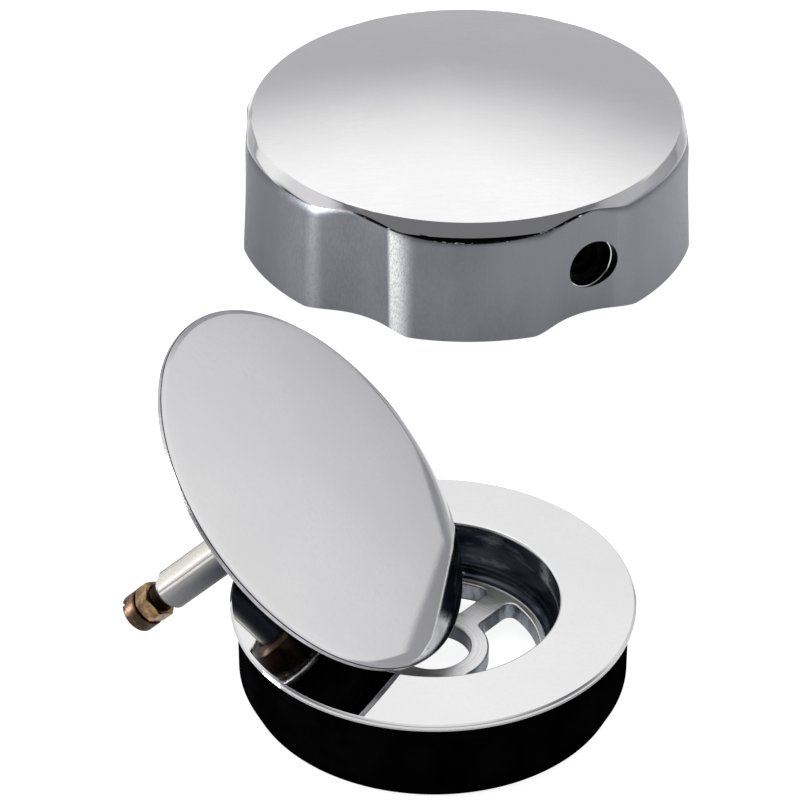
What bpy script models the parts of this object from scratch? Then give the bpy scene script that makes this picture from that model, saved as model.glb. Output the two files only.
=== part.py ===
"""Bath drain trim set.

A chromed waste flange with its crosshead stands on a thick rubber gasket. Its pop-up plug has been
taken out and leans in the bore: two points of the disc's rim rest on the bore's edge and the stem
rests on the flange's outer edge. The scalloped overflow knob stands behind them.

Metres, +Z up, the floor at z = 0, the front of the set towards -Y. The origin is on the floor
under the middle of the set's box.
"""
import bpy
import bmesh
from math import asin, cos, pi, radians, sin, sqrt, tan
from mathutils import Matrix, Vector

MM = 0.001
MERGE = 0.002 * MM
SEAT_GAP = 0.3 * MM
CUT_OVERRUN = 2.0 * MM
TURNED_STEPS = 52
SMALL_TURNED_STEPS = 32
FILLET_STEPS = 3
SHARP_ANGLE = radians(32.0)

# Waste flange and its crosshead
FLANGE_RADIUS = 34.0 * MM
FLANGE_HEIGHT = 16.8 * MM
RIM_THICKNESS = 1.6 * MM
RIM_EDGE_ROUND = 0.35 * MM
RIM_UNDERCUT = 0.5 * MM
BORE_RADIUS = 21.2 * MM
BORE_EDGE_ROUND = 0.6 * MM
BOWL_DEPTH = 10.3 * MM
BOWL_CORNER_GROOVE = 0.5 * MM
TAIL_RADIUS = 23.7 * MM
TAIL_SHORTFALL = 0.5 * MM
TAIL_CHAMFER = 0.6 * MM
CROSSHEAD_THICKNESS = 3.3 * MM
CROSSHEAD_EDGE_ROUND = 0.35 * MM
HUB_RADIUS = 9.5 * MM
HUB_HOLE_RADIUS = 6.4 * MM
WINDOW_RADIUS = 18.0 * MM
WINDOW_CORNER_RADIUS = 1.4 * MM
SPOKE_WIDTH = 4.4 * MM
SPOKE_COUNT = 3
FIRST_SPOKE_ANGLE = radians(50.0)
WINDOW_OUTER_STEPS = 16
WINDOW_INNER_STEPS = 8

# Rubber gasket under the flange
GASKET_WALL = 8.8 * MM
GASKET_FOOT_INSET = 1.6 * MM
GASKET_FOOT_HEIGHT = 3.4 * MM
GASKET_LIP_HEIGHT = 1.8 * MM
GASKET_GROOVE_DEPTH = 0.5 * MM
GASKET_GROOVE_HEIGHT = 1.0 * MM
GASKET_ROUND = 0.6 * MM

# Plug: local Z is the stem's axis, z = 0 is the rim of the polished face, which is crowned, and
# the stem points to -Z
DISC_RADIUS = 33.85 * MM
DISC_THICKNESS = 1.0 * MM
DISC_CROWN = 2.1 * MM
DISC_BEVEL = 0.3 * MM
DISC_EDGE_ROUND = 0.15 * MM
BOSS_RADIUS = 4.0 * MM
BOSS_LENGTH = 6.0 * MM
SEAL_RADIUS = 30.0 * MM
SEAL_THICKNESS = 2.2 * MM
SEAL_LIP_ROUND = 0.9 * MM
WASHER_RADIUS = 7.2 * MM
WASHER_THICKNESS = 1.0 * MM
COLLAR_RADIUS = 6.0 * MM
COLLAR_LENGTH = 6.0 * MM
COLLAR_CHAMFER = 0.7 * MM
STEM_RADIUS = 3.5 * MM
STEM_REACH = 37.6 * MM
STEM_END_CHAMFER = 0.7 * MM
STEM_ACROSS_FLATS = 5.6 * MM
STEM_FLAT_ANGLE = radians(197.0)
SPIGOT_RADIUS = 2.4 * MM
SPIGOT_LENGTH = 4.4 * MM

# Adjusting screw and lock nut at the end of the stem
THREAD_RADIUS = 2.3 * MM
THREAD_ENGAGEMENT = 11.0 * MM
THREAD_HOLE_EXTRA = 2.0 * MM
NUT_STANDOFF = 2.1 * MM
NUT_ACROSS_FLATS = 6.2 * MM
NUT_THICKNESS = 2.9 * MM
NUT_CORNER_CHAMFER = 0.35 * MM
NUT_CHAMFER_ANGLE = radians(30.0)
NUT_TURN = radians(51.0)
NUT_SIDES = 6
HEAD_RADIUS = 3.5 * MM
HEAD_LENGTH = 2.9 * MM
HEAD_ROUND = 0.5 * MM
SLOT_WIDTH = 1.0 * MM
SLOT_DEPTH = 1.2 * MM
SLOT_ANGLE = radians(18.0)

# How the plug leans: the tilt of its stem from upright and the way it faces
PLUG_TILT = radians(45.0)
PLUG_BEARING = radians(-12.1)

# Overflow knob: local Z is its own axis, the front lobe points to local -Y
KNOB_LOBES = 6
KNOB_BASE_RADIUS = 46.7 * MM
KNOB_SHOULDER_RADIUS = 45.4 * MM
KNOB_FOOT_HEIGHT = 1.0 * MM
KNOB_DOME_RADIUS = 43.4 * MM
KNOB_DOME_HEIGHT = 25.2 * MM
KNOB_DOME_RISE = 3.0 * MM
KNOB_CHAMFER_ANGLE = radians(58.0)
KNOB_SHOULDER_ROUND = 1.6 * MM
KNOB_WALL = 2.0 * MM
KNOB_EDGE_BREAK = 0.35 * MM
FLUTE_CHAMFER_WIDTH = 0.9 * MM
FOOT_FLUTE_FLOOR = 42.7 * MM
FOOT_FLUTE_RADIUS = 19.0 * MM
FOOT_FLUTE_BLEND = 2.8 * MM
TOP_FLUTE_FLOOR = 44.1 * MM
TOP_FLUTE_RADIUS = 40.0 * MM
TOP_FLUTE_BLEND = 1.4 * MM
KNOB_LOBE_STEPS = 14
KNOB_PLACE_X = 6.0 * MM
KNOB_PLACE_Y = 149.7 * MM
KNOB_TURN = radians(1.5)

# Hub inside the knob, with the boss that takes the grub screw
HUB_PLATE_THICKNESS = 2.2 * MM
HUB_SLEEVE_RADIUS = 12.0 * MM
HUB_BORE_RADIUS = 6.2 * MM
HUB_FLOOR_CLEARANCE = 2.0 * MM
GRUB_BOSS_RADIUS = 6.6 * MM
GRUB_AXIS_HEIGHT = 11.3 * MM
GRUB_SIDE_ANGLE = radians(3.0)
GRUB_HOLE_RADIUS = 5.3 * MM
GRUB_RADIUS = 3.6 * MM
GRUB_LENGTH = 9.0 * MM
GRUB_SETBACK = 4.0 * MM
GRUB_POINT_CHAMFER = 0.8 * MM
SOCKET_ACROSS_FLATS = 4.0 * MM
SOCKET_DEPTH = 4.0 * MM

# Where points fall along the disc's crown, the knob's wall, its shoulder, its dome and the
# hub's plate
CROWN_SHARES = (0.4, 0.75)
SIDE_SHARES = (0.5, 1.0)
BEND_SHARES = (0.35, 0.7)
DOME_SHARES = (0.97, 0.8, 0.55, 0.28)
HUB_PLATE_SHARES = (0.0, 0.25, 0.5, 0.75, 1.0)

CHROME = ((0.78, 0.79, 0.82), 0.08, 1.0)
SATIN_ZINC = ((0.55, 0.56, 0.58), 0.38, 1.0)
BRASS = ((0.60, 0.42, 0.20), 0.30, 1.0)
AGED_BRASS = ((0.20, 0.13, 0.08), 0.42, 1.0)
BLACK_RUBBER = ((0.012, 0.012, 0.013), 0.55, 0.0)
DARK_STEEL = ((0.10, 0.10, 0.11), 0.35, 1.0)
GREY_ZINC = ((0.36, 0.36, 0.37), 0.50, 1.0)


def clear_scene():
    for item in list(bpy.data.objects):
        bpy.data.objects.remove(item, do_unlink=True)


def make_collection(name):
    group = bpy.data.collections.new(name)
    bpy.context.scene.collection.children.link(group)
    return group


def make_material(name, look):
    colour, roughness, metallic = look
    material = bpy.data.materials.new(name)
    material.use_nodes = True
    shader = material.node_tree.nodes["Principled BSDF"]
    shader.inputs["Base Color"].default_value = (*colour, 1.0)
    shader.inputs["Roughness"].default_value = roughness
    shader.inputs["Metallic"].default_value = metallic
    return material


def make_empty(name, parent=None, location=(0, 0, 0), rotation=None):
    empty = bpy.data.objects.new(name, None)
    PARTS.objects.link(empty)
    empty.parent = parent
    empty.location = location
    if rotation:
        empty.rotation_euler = rotation.to_euler()
    return empty


def add_part(name, mesh, look, parent):
    part = bpy.data.objects.new(name, mesh)
    PARTS.objects.link(part)
    part.parent = parent
    mesh.materials.append(make_material(name + "_finish", look))
    return part


def shade_round(mesh):
    mesh.shade_smooth()
    mesh.set_sharp_from_angle(angle=SHARP_ANGLE)


def fillet_loop(corners):
    """Round the corners of a closed outline; each corner is (x, y, radius)."""
    points = []
    count = len(corners)
    for index, (x, y, radius) in enumerate(corners):
        here = Vector((x, y))
        before = (Vector(corners[index - 1][:2]) - here).normalized()
        after = (Vector(corners[(index + 1) % count][:2]) - here).normalized()
        if radius <= 0:
            points.append((x, y))
            continue
        half_angle = before.angle(after) / 2
        centre = here + (before + after).normalized() * (radius / sin(half_angle))
        start = here + before * (radius / tan(half_angle)) - centre
        end = here + after * (radius / tan(half_angle)) - centre
        sweep = start.angle_signed(end)
        for step in range(FILLET_STEPS + 1):
            turn = Matrix.Rotation(-sweep * step / FILLET_STEPS, 2)
            points.append(tuple(centre + turn @ start))
    return points


def turned(name, corners, look, parent, steps=TURNED_STEPS):
    """Turn a closed (radius, height) outline about local Z; its outer side runs top to bottom."""
    points = fillet_loop(corners)
    mesh = bpy.data.meshes.new(name)
    edges = [(index, (index + 1) % len(points)) for index in range(len(points))]
    on_axis = [radius < MERGE for radius, _ in points]
    edges = [(a, b) for a, b in edges if not (on_axis[a] and on_axis[b])]
    mesh.from_pydata([(radius, 0, height) for radius, height in points], edges, [])
    part = add_part(name, mesh, look, parent)
    screw = part.modifiers.new("turn", "SCREW")
    screw.steps = steps
    screw.render_steps = steps
    screw.use_merge_vertices = True
    screw.merge_threshold = MERGE
    screw.use_smooth_shade = True
    return part


def add_cutter(name, mesh, parent, matrix=None):
    cutter = bpy.data.objects.new(name, mesh)
    CUTTERS.objects.link(cutter)
    cutter.parent = parent
    if matrix:
        cutter.matrix_local = matrix
    cutter.hide_render = True
    cutter.display_type = "WIRE"
    return cutter


def boolean(part, other, operation):
    change = part.modifiers.new(other.name, "BOOLEAN")
    change.operation = operation
    change.solver = "EXACT"
    change.object = other
    return change


def round_bar_mesh(name, radius, low, high, sides=SMALL_TURNED_STEPS):
    shape = bmesh.new()
    middle = Matrix.Translation((0, 0, (low + high) / 2))
    bmesh.ops.create_cone(shape, cap_ends=True, segments=sides, radius1=radius, radius2=radius,
                          depth=high - low, matrix=middle)
    mesh = bpy.data.meshes.new(name)
    shape.to_mesh(mesh)
    shape.free()
    return mesh


def box_mesh(name, size, centre):
    shape = bmesh.new()
    place = Matrix.Translation(centre) @ Matrix.Diagonal((*size, 1.0))
    bmesh.ops.create_cube(shape, size=1.0, matrix=place)
    mesh = bpy.data.meshes.new(name)
    shape.to_mesh(mesh)
    shape.free()
    return mesh


def flat_solid_mesh(name, outline, low, high):
    """A flat outline as a 2D curve with thickness, made a closed mesh between two heights."""
    curve = bpy.data.curves.new(name, "CURVE")
    curve.dimensions = "2D"
    curve.fill_mode = "BOTH"
    curve.extrude = (high - low) / 2
    spline = curve.splines.new("POLY")
    spline.points.add(len(outline) - 1)
    for point, (x, y) in zip(spline.points, outline):
        point.co = (x, y, 0, 1)
    spline.use_cyclic_u = True
    holder = bpy.data.objects.new(name, curve)
    CUTTERS.objects.link(holder)
    graph = bpy.context.evaluated_depsgraph_get()
    mesh = bpy.data.meshes.new_from_object(holder.evaluated_get(graph))
    bpy.data.objects.remove(holder, do_unlink=True)
    shape = bmesh.new()
    shape.from_mesh(mesh)
    bmesh.ops.remove_doubles(shape, verts=shape.verts, dist=MERGE)
    bmesh.ops.translate(shape, verts=shape.verts, vec=(0, 0, (low + high) / 2))
    bmesh.ops.recalc_face_normals(shape, faces=shape.faces)
    shape.to_mesh(mesh)
    shape.free()
    return mesh


def arc_points(centre, radius, start, end, steps):
    points = []
    for step in range(steps + 1):
        angle = start + (end - start) * step / steps
        points.append((centre[0] + radius * cos(angle), centre[1] + radius * sin(angle)))
    return points


def polar(radius, angle):
    return (radius * cos(angle), radius * sin(angle))


# Waste flange

def crosshead_window(spoke):
    """Outline of the window between one spoke and the next, with round corners."""
    corner = WINDOW_CORNER_RADIUS
    next_spoke = spoke + 2 * pi / SPOKE_COUNT
    outer = WINDOW_RADIUS - corner
    inner = HUB_RADIUS + corner
    outer_lean = asin((SPOKE_WIDTH / 2 + corner) / outer)
    inner_lean = asin((SPOKE_WIDTH / 2 + corner) / inner)
    outer_start = spoke + outer_lean
    outer_end = next_spoke - outer_lean
    inner_start = spoke + inner_lean
    inner_end = next_spoke - inner_lean
    quarter = pi / 2
    arcs = [
        (polar(outer, outer_start), corner, spoke - quarter, outer_start, FILLET_STEPS),
        ((0, 0), WINDOW_RADIUS, outer_start, outer_end, WINDOW_OUTER_STEPS),
        (polar(outer, outer_end), corner, outer_end, next_spoke + quarter, FILLET_STEPS),
        (polar(inner, inner_end), corner, next_spoke + quarter, inner_end + pi, FILLET_STEPS),
        ((0, 0), HUB_RADIUS, inner_end, inner_start, WINDOW_INNER_STEPS),
        (polar(inner, inner_start), corner, inner_start + pi, spoke + 3 * quarter, FILLET_STEPS),
    ]
    outline = []
    for arc in arcs:
        points = arc_points(*arc)
        outline += points[1:-1] if arc[0] == (0, 0) else points
    return outline


def make_flange(parent):
    crosshead_under = -BOWL_DEPTH - CROSSHEAD_THICKNESS
    tail_end = -FLANGE_HEIGHT + TAIL_SHORTFALL
    groove = BOWL_CORNER_GROOVE
    corners = [
        (BORE_RADIUS, 0, BORE_EDGE_ROUND),
        (FLANGE_RADIUS, 0, RIM_EDGE_ROUND),
        (FLANGE_RADIUS, -RIM_THICKNESS + RIM_UNDERCUT, 0),
        (FLANGE_RADIUS - RIM_UNDERCUT, -RIM_THICKNESS, 0),
        (TAIL_RADIUS, -RIM_THICKNESS, 0),
        (TAIL_RADIUS, tail_end + TAIL_CHAMFER, 0),
        (TAIL_RADIUS - TAIL_CHAMFER, tail_end, 0),
        (BORE_RADIUS, tail_end, 0),
        (BORE_RADIUS, crosshead_under, 0),
        (HUB_HOLE_RADIUS, crosshead_under, CROSSHEAD_EDGE_ROUND),
        (HUB_HOLE_RADIUS, -BOWL_DEPTH, CROSSHEAD_EDGE_ROUND),
        (BORE_RADIUS - groove, -BOWL_DEPTH, 0),
        (BORE_RADIUS, -BOWL_DEPTH + groove, 0),
    ]
    flange = turned("waste_flange", corners, CHROME, parent)
    for number in range(SPOKE_COUNT):
        spoke = FIRST_SPOKE_ANGLE + number * 2 * pi / SPOKE_COUNT
        low = crosshead_under - CUT_OVERRUN
        high = -BOWL_DEPTH + CUT_OVERRUN
        mesh = flat_solid_mesh(f"window_{number + 1}", crosshead_window(spoke), low, high)
        cutter = add_cutter(f"window_{number + 1}", mesh, parent)
        boolean(flange, cutter, "DIFFERENCE")
    return flange


def make_gasket(parent):
    top = -RIM_THICKNESS - SEAT_GAP
    foot = -FLANGE_HEIGHT
    bore = TAIL_RADIUS + SEAT_GAP
    outer = bore + GASKET_WALL
    groove_top = top - GASKET_LIP_HEIGHT
    groove_floor = outer - GASKET_GROOVE_DEPTH
    corners = [
        (bore, top, 0),
        (outer, top, GASKET_ROUND),
        (outer, groove_top, 0),
        (groove_floor, groove_top - GASKET_GROOVE_DEPTH, 0),
        (groove_floor, groove_top - GASKET_GROOVE_HEIGHT, 0),
        (outer, groove_top - GASKET_GROOVE_HEIGHT - GASKET_GROOVE_DEPTH, GASKET_ROUND),
        (outer, foot + GASKET_FOOT_HEIGHT, GASKET_ROUND),
        (outer - GASKET_FOOT_INSET, foot, 0),
        (bore, foot, 0),
    ]
    return turned("rubber_gasket", corners, BLACK_RUBBER, parent)


# Plug

def plug_rest():
    """Where the leaning plug rests, in the upright plane of its stem.

    The edge circle under the disc meets the bore's edge at two points, on a chord a little
    behind the bore's middle, and the stem touches the flange's outer edge. Returns the place of
    the centre of the disc's underside: distance along the bearing and height over the flange.
    """
    disc = DISC_RADIUS + SEAT_GAP
    reach = FLANGE_RADIUS * cos(PLUG_TILT) + STEM_RADIUS + SEAT_GAP
    spare = disc ** 2 - BORE_RADIUS ** 2
    slope = sin(PLUG_TILT) ** 2
    half = reach * cos(PLUG_TILT)
    chord_place = (half - sqrt(half ** 2 - slope * (spare - reach ** 2))) / slope
    to_chord = sqrt(spare + chord_place ** 2)
    return chord_place - to_chord * cos(PLUG_TILT), to_chord * sin(PLUG_TILT)


def plug_frame(parent):
    along, height = plug_rest()
    along += DISC_THICKNESS * sin(PLUG_TILT)
    height += DISC_THICKNESS * cos(PLUG_TILT)
    place = (along * cos(PLUG_BEARING), along * sin(PLUG_BEARING), height)
    rotation = Matrix.Rotation(PLUG_BEARING, 3, "Z") @ Matrix.Rotation(PLUG_TILT, 3, "Y")
    return make_empty("plug_axis", parent, place, rotation)


def make_disc(parent):
    under = -DISC_THICKNESS
    boss_end = under - BOSS_LENGTH
    hole = SPIGOT_RADIUS + SEAT_GAP
    hole_top = boss_end + SPIGOT_LENGTH
    face = DISC_RADIUS - DISC_BEVEL
    dome = (face ** 2 + DISC_CROWN ** 2) / (2 * DISC_CROWN)
    crown = [(share * face, sqrt(dome ** 2 - (share * face) ** 2) - dome + DISC_CROWN, 0)
             for share in CROWN_SHARES]
    corners = [
        (0, DISC_CROWN, 0),
        *crown,
        (face, 0, 0),
        (DISC_RADIUS, -DISC_BEVEL, DISC_EDGE_ROUND),
        (DISC_RADIUS, under, 0),
        (BOSS_RADIUS, under, 0),
        (BOSS_RADIUS, boss_end, 0),
        (hole, boss_end, 0),
        (hole, hole_top, 0),
        (0, hole_top, 0),
    ]
    return turned("plug_disc", corners, CHROME, parent)


def ring(name, inner, outer, top, thickness, edge_round, look, parent, steps=TURNED_STEPS):
    corners = [
        (inner, top, 0),
        (outer, top, 0),
        (outer, top - thickness, edge_round),
        (inner, top - thickness, 0),
    ]
    return turned(name, corners, look, parent, steps)


def make_plug_pile(parent):
    """Seal, washer and collar, one under the other on the disc's boss."""
    bore = BOSS_RADIUS + SEAT_GAP
    seal_top = -DISC_THICKNESS - SEAT_GAP
    washer_top = seal_top - SEAL_THICKNESS - SEAT_GAP
    collar_top = washer_top - WASHER_THICKNESS - SEAT_GAP
    collar_end = collar_top - COLLAR_LENGTH
    neck = -DISC_THICKNESS - BOSS_LENGTH - SEAT_GAP
    ring("plug_seal", bore, SEAL_RADIUS, seal_top, SEAL_THICKNESS, SEAL_LIP_ROUND,
         BLACK_RUBBER, parent)
    ring("seal_washer", bore, WASHER_RADIUS, washer_top, WASHER_THICKNESS, 0,
         SATIN_ZINC, parent, SMALL_TURNED_STEPS)
    corners = [
        (bore, collar_top, 0),
        (COLLAR_RADIUS, collar_top, 0),
        (COLLAR_RADIUS, collar_end + COLLAR_CHAMFER, 0),
        (COLLAR_RADIUS - COLLAR_CHAMFER, collar_end, 0),
        (STEM_RADIUS + SEAT_GAP, collar_end, 0),
        (STEM_RADIUS + SEAT_GAP, neck, 0),
        (bore, neck, 0),
    ]
    turned("stem_collar", corners, AGED_BRASS, parent, SMALL_TURNED_STEPS)


def make_stem(parent):
    shoulder = -DISC_THICKNESS - BOSS_LENGTH - SEAT_GAP
    spigot_top = shoulder + SPIGOT_LENGTH
    end = -STEM_REACH
    hole = THREAD_RADIUS + SEAT_GAP
    hole_top = end + THREAD_ENGAGEMENT + THREAD_HOLE_EXTRA
    corners = [
        (0, spigot_top, 0),
        (SPIGOT_RADIUS, spigot_top, 0),
        (SPIGOT_RADIUS, shoulder, 0),
        (STEM_RADIUS, shoulder, 0),
        (STEM_RADIUS, end + STEM_END_CHAMFER, 0),
        (STEM_RADIUS - STEM_END_CHAMFER, end, 0),
        (hole, end, 0),
        (hole, hole_top, 0),
        (0, hole_top, 0),
    ]
    stem = turned("plug_stem", corners, SATIN_ZINC, parent, SMALL_TURNED_STEPS)
    length = STEM_REACH + 2 * CUT_OVERRUN
    middle = (shoulder - STEM_REACH) / 2
    for side in (1, -1):
        name = "stem_flat_a" if side > 0 else "stem_flat_b"
        offset = side * (STEM_ACROSS_FLATS / 2 + CUT_OVERRUN / 2)
        mesh = box_mesh(name, (CUT_OVERRUN, 2 * STEM_RADIUS + CUT_OVERRUN, length), (offset, 0, middle))
        cutter = add_cutter(name, mesh, parent, Matrix.Rotation(STEM_FLAT_ANGLE, 4, "Z"))
        boolean(stem, cutter, "DIFFERENCE")
    return stem


def make_lock_nut(parent):
    top = -STEM_REACH - NUT_STANDOFF
    bottom = top - NUT_THICKNESS
    corner_radius = NUT_ACROSS_FLATS / 2 / cos(pi / NUT_SIDES)
    chamfer = NUT_CORNER_CHAMFER
    drop = chamfer * tan(NUT_CHAMFER_ANGLE)
    corners = [
        (THREAD_RADIUS + SEAT_GAP, top, 0),
        (corner_radius - chamfer, top, 0),
        (corner_radius, top - drop, 0),
        (corner_radius, bottom + drop, 0),
        (corner_radius - chamfer, bottom, 0),
        (THREAD_RADIUS + SEAT_GAP, bottom, 0),
    ]
    nut = turned("lock_nut", corners, BRASS, parent, SMALL_TURNED_STEPS)
    outline = arc_points((0, 0), corner_radius, NUT_TURN, NUT_TURN + 2 * pi, NUT_SIDES)[:-1]
    mesh = flat_solid_mesh("nut_hexagon", outline, bottom - CUT_OVERRUN, top + CUT_OVERRUN)
    boolean(nut, add_cutter("nut_hexagon", mesh, parent), "INTERSECT")
    return nut


def make_adjusting_screw(parent):
    nut_bottom = -STEM_REACH - NUT_STANDOFF - NUT_THICKNESS
    head_top = nut_bottom - SEAT_GAP
    head_end = head_top - HEAD_LENGTH
    tip = -STEM_REACH + THREAD_ENGAGEMENT
    corners = [
        (0, tip, 0),
        (THREAD_RADIUS, tip, 0),
        (THREAD_RADIUS, head_top, 0),
        (HEAD_RADIUS, head_top, 0),
        (HEAD_RADIUS, head_end, HEAD_ROUND),
        (0, head_end, 0),
    ]
    screw = turned("adjusting_screw", corners, AGED_BRASS, parent, SMALL_TURNED_STEPS)
    width = 2 * HEAD_RADIUS + 2 * CUT_OVERRUN
    height = SLOT_DEPTH + CUT_OVERRUN
    middle = head_end + SLOT_DEPTH - height / 2
    mesh = box_mesh("head_slot", (width, SLOT_WIDTH, height), (0, 0, middle))
    cutter = add_cutter("head_slot", mesh, parent, Matrix.Rotation(SLOT_ANGLE, 4, "Z"))
    boolean(screw, cutter, "DIFFERENCE")
    return screw


# Overflow knob

def smooth_least(a, b, blend):
    """The lesser of two lengths, with a soft change from one to the other."""
    share = max(0.0, min(1.0, 0.5 + 0.5 * (b - a) / blend))
    return b + (a - b) * share - blend * share * (1 - share)


def knob_outline(angle, lobe_radius, flute_floor, flute_radius, blend):
    """Radius of the knob's lobed outline at an angle from its front lobe."""
    pitch = 2 * pi / KNOB_LOBES
    from_flute = (angle % pitch) - pitch / 2
    centre = flute_floor + flute_radius
    inside = flute_radius ** 2 - (centre * sin(from_flute)) ** 2
    if inside > 0:
        flute = centre * cos(from_flute) - sqrt(inside)
    else:
        flute = centre
    return smooth_least(lobe_radius, flute, blend)


def knob_top(radius):
    """Height of the knob's turned top: a dome, then a chamfer outside it."""
    if radius <= KNOB_DOME_RADIUS:
        return KNOB_DOME_HEIGHT + KNOB_DOME_RISE * (1 - (radius / KNOB_DOME_RADIUS) ** 2)
    return KNOB_DOME_HEIGHT - (radius - KNOB_DOME_RADIUS) * tan(KNOB_CHAMFER_ANGLE)


def knob_section(angle):
    """Points (radius, height) up the knob's skin at one angle, from the foot to the dome."""
    foot = knob_outline(angle, KNOB_BASE_RADIUS, FOOT_FLUTE_FLOOR, FOOT_FLUTE_RADIUS,
                        FOOT_FLUTE_BLEND)
    rim = knob_outline(angle, KNOB_SHOULDER_RADIUS, TOP_FLUTE_FLOOR, TOP_FLUTE_RADIUS,
                       TOP_FLUTE_BLEND)
    proud_share = (rim - TOP_FLUTE_FLOOR) / (KNOB_SHOULDER_RADIUS - TOP_FLUTE_FLOOR)
    proud_share = max(0.0, min(1.0, proud_share))
    bend = KNOB_EDGE_BREAK + (KNOB_SHOULDER_ROUND - KNOB_EDGE_BREAK) * proud_share
    shoulder = knob_top(rim) - bend
    section = [(foot, 0), (foot, KNOB_FOOT_HEIGHT)]
    for share in SIDE_SHARES:
        height = KNOB_FOOT_HEIGHT + (shoulder - KNOB_FOOT_HEIGHT) * share
        section.append((foot + (rim - foot) * share, height))
    inset = rim - bend * cos(KNOB_CHAMFER_ANGLE)
    landing = (inset, knob_top(inset))
    for share in BEND_SHARES:
        near = (rim, shoulder + bend * share)
        far = (rim + (inset - rim) * share, knob_top(rim) + (landing[1] - knob_top(rim)) * share)
        section.append(tuple(n + (f - n) * share for n, f in zip(near, far)))
    section.append(landing)
    dome_edge = min(KNOB_DOME_RADIUS, rim - FLUTE_CHAMFER_WIDTH)
    section.append((dome_edge, knob_top(dome_edge)))
    for share in DOME_SHARES:
        section.append((dome_edge * share, knob_top(dome_edge * share)))
    return section


def make_knob_shell(parent):
    """Loft from the lobed foot to the round dome, given its wall by Solidify."""
    count = KNOB_LOBES * KNOB_LOBE_STEPS
    shape = bmesh.new()
    columns = []
    for step in range(count):
        angle = 2 * pi * step / count
        column = []
        for radius, height in knob_section(angle):
            place = (radius * sin(angle), -radius * cos(angle), height)
            column.append(shape.verts.new(place))
        columns.append(column)
    crown = shape.verts.new((0, 0, knob_top(0)))
    for step, column in enumerate(columns):
        beside = columns[(step + 1) % count]
        for low in range(len(column) - 1):
            shape.faces.new((column[low], beside[low], beside[low + 1], column[low + 1]))
        shape.faces.new((column[-1], beside[-1], crown))
    bmesh.ops.recalc_face_normals(shape, faces=shape.faces)
    mesh = bpy.data.meshes.new("knob_shell")
    shape.to_mesh(mesh)
    shape.free()
    shade_round(mesh)
    shell = add_part("knob_shell", mesh, CHROME, parent)
    wall = shell.modifiers.new("wall", "SOLIDIFY")
    wall.thickness = KNOB_WALL
    wall.offset = -1.0
    wall.use_even_offset = True
    far = KNOB_BASE_RADIUS + CUT_OVERRUN
    near = FOOT_FLUTE_FLOOR - KNOB_WALL - CUT_OVERRUN
    hole = round_bar_mesh("grub_hole", GRUB_HOLE_RADIUS, near, far)
    boolean(shell, add_cutter("grub_hole", hole, parent, grub_direction()), "DIFFERENCE")
    return shell


def grub_direction():
    """The frame of the grub screw: its Z axis runs outward through the front right flute."""
    bearing = -pi / 2 + pi / KNOB_LOBES + GRUB_SIDE_ANGLE
    turn = Matrix.Rotation(bearing, 4, "Z") @ Matrix.Rotation(pi / 2, 4, "Y")
    return Matrix.Translation((0, 0, GRUB_AXIS_HEIGHT)) @ turn


def make_knob_hub(parent):
    """A sleeve under a plate that follows the dome, with a side boss for the grub screw."""
    clear = KNOB_WALL + SEAT_GAP
    plate_radius = FOOT_FLUTE_FLOOR - KNOB_WALL - 2 * SEAT_GAP
    corners = []
    for share in HUB_PLATE_SHARES:
        radius = HUB_BORE_RADIUS + (plate_radius - HUB_BORE_RADIUS) * share
        corners.append((radius, knob_top(radius) - clear, 0))
    edge = knob_top(plate_radius) - clear - HUB_PLATE_THICKNESS
    corners += [
        (plate_radius, edge, 0),
        (HUB_SLEEVE_RADIUS, edge, HUB_PLATE_THICKNESS / 2),
        (HUB_SLEEVE_RADIUS, HUB_FLOOR_CLEARANCE, 0),
        (HUB_BORE_RADIUS, HUB_FLOOR_CLEARANCE, 0),
    ]
    hub = turned("knob_hub", corners, GREY_ZINC, parent)
    inner = (HUB_SLEEVE_RADIUS + HUB_BORE_RADIUS) / 2
    outer = plate_radius
    boss = round_bar_mesh("grub_boss", GRUB_BOSS_RADIUS, inner, outer)
    boolean(hub, add_cutter("grub_boss", boss, parent, grub_direction()), "UNION")
    bore = round_bar_mesh("grub_bore", GRUB_RADIUS + SEAT_GAP, 0, outer + CUT_OVERRUN)
    boolean(hub, add_cutter("grub_bore", bore, parent, grub_direction()), "DIFFERENCE")
    return hub


def make_grub_screw(parent):
    axis = make_empty("grub_axis", parent)
    axis.matrix_local = grub_direction()
    face = FOOT_FLUTE_FLOOR - GRUB_SETBACK
    tip = face - GRUB_LENGTH
    corners = [
        (0, face, 0),
        (GRUB_RADIUS, face, 0),
        (GRUB_RADIUS, tip + GRUB_POINT_CHAMFER, 0),
        (GRUB_RADIUS - GRUB_POINT_CHAMFER, tip, 0),
        (0, tip, 0),
    ]
    grub = turned("grub_screw", corners, DARK_STEEL, axis, SMALL_TURNED_STEPS)
    corner_radius = SOCKET_ACROSS_FLATS / 2 / cos(pi / NUT_SIDES)
    outline = arc_points((0, 0), corner_radius, 0, 2 * pi, NUT_SIDES)[:-1]
    mesh = flat_solid_mesh("hex_socket", outline, face - SOCKET_DEPTH, face + CUT_OVERRUN)
    boolean(grub, add_cutter("hex_socket", mesh, axis), "DIFFERENCE")
    return grub


def set_box():
    """Lowest and highest corners of all the parts together."""
    graph = bpy.context.evaluated_depsgraph_get()
    places = []
    for part in PARTS.objects:
        if part.type != "MESH":
            continue
        solid = part.evaluated_get(graph)
        places += [part.matrix_world @ vertex.co for vertex in solid.data.vertices]
    low = Vector([min(place[axis] for place in places) for axis in range(3)])
    high = Vector([max(place[axis] for place in places) for axis in range(3)])
    return low, high


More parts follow.
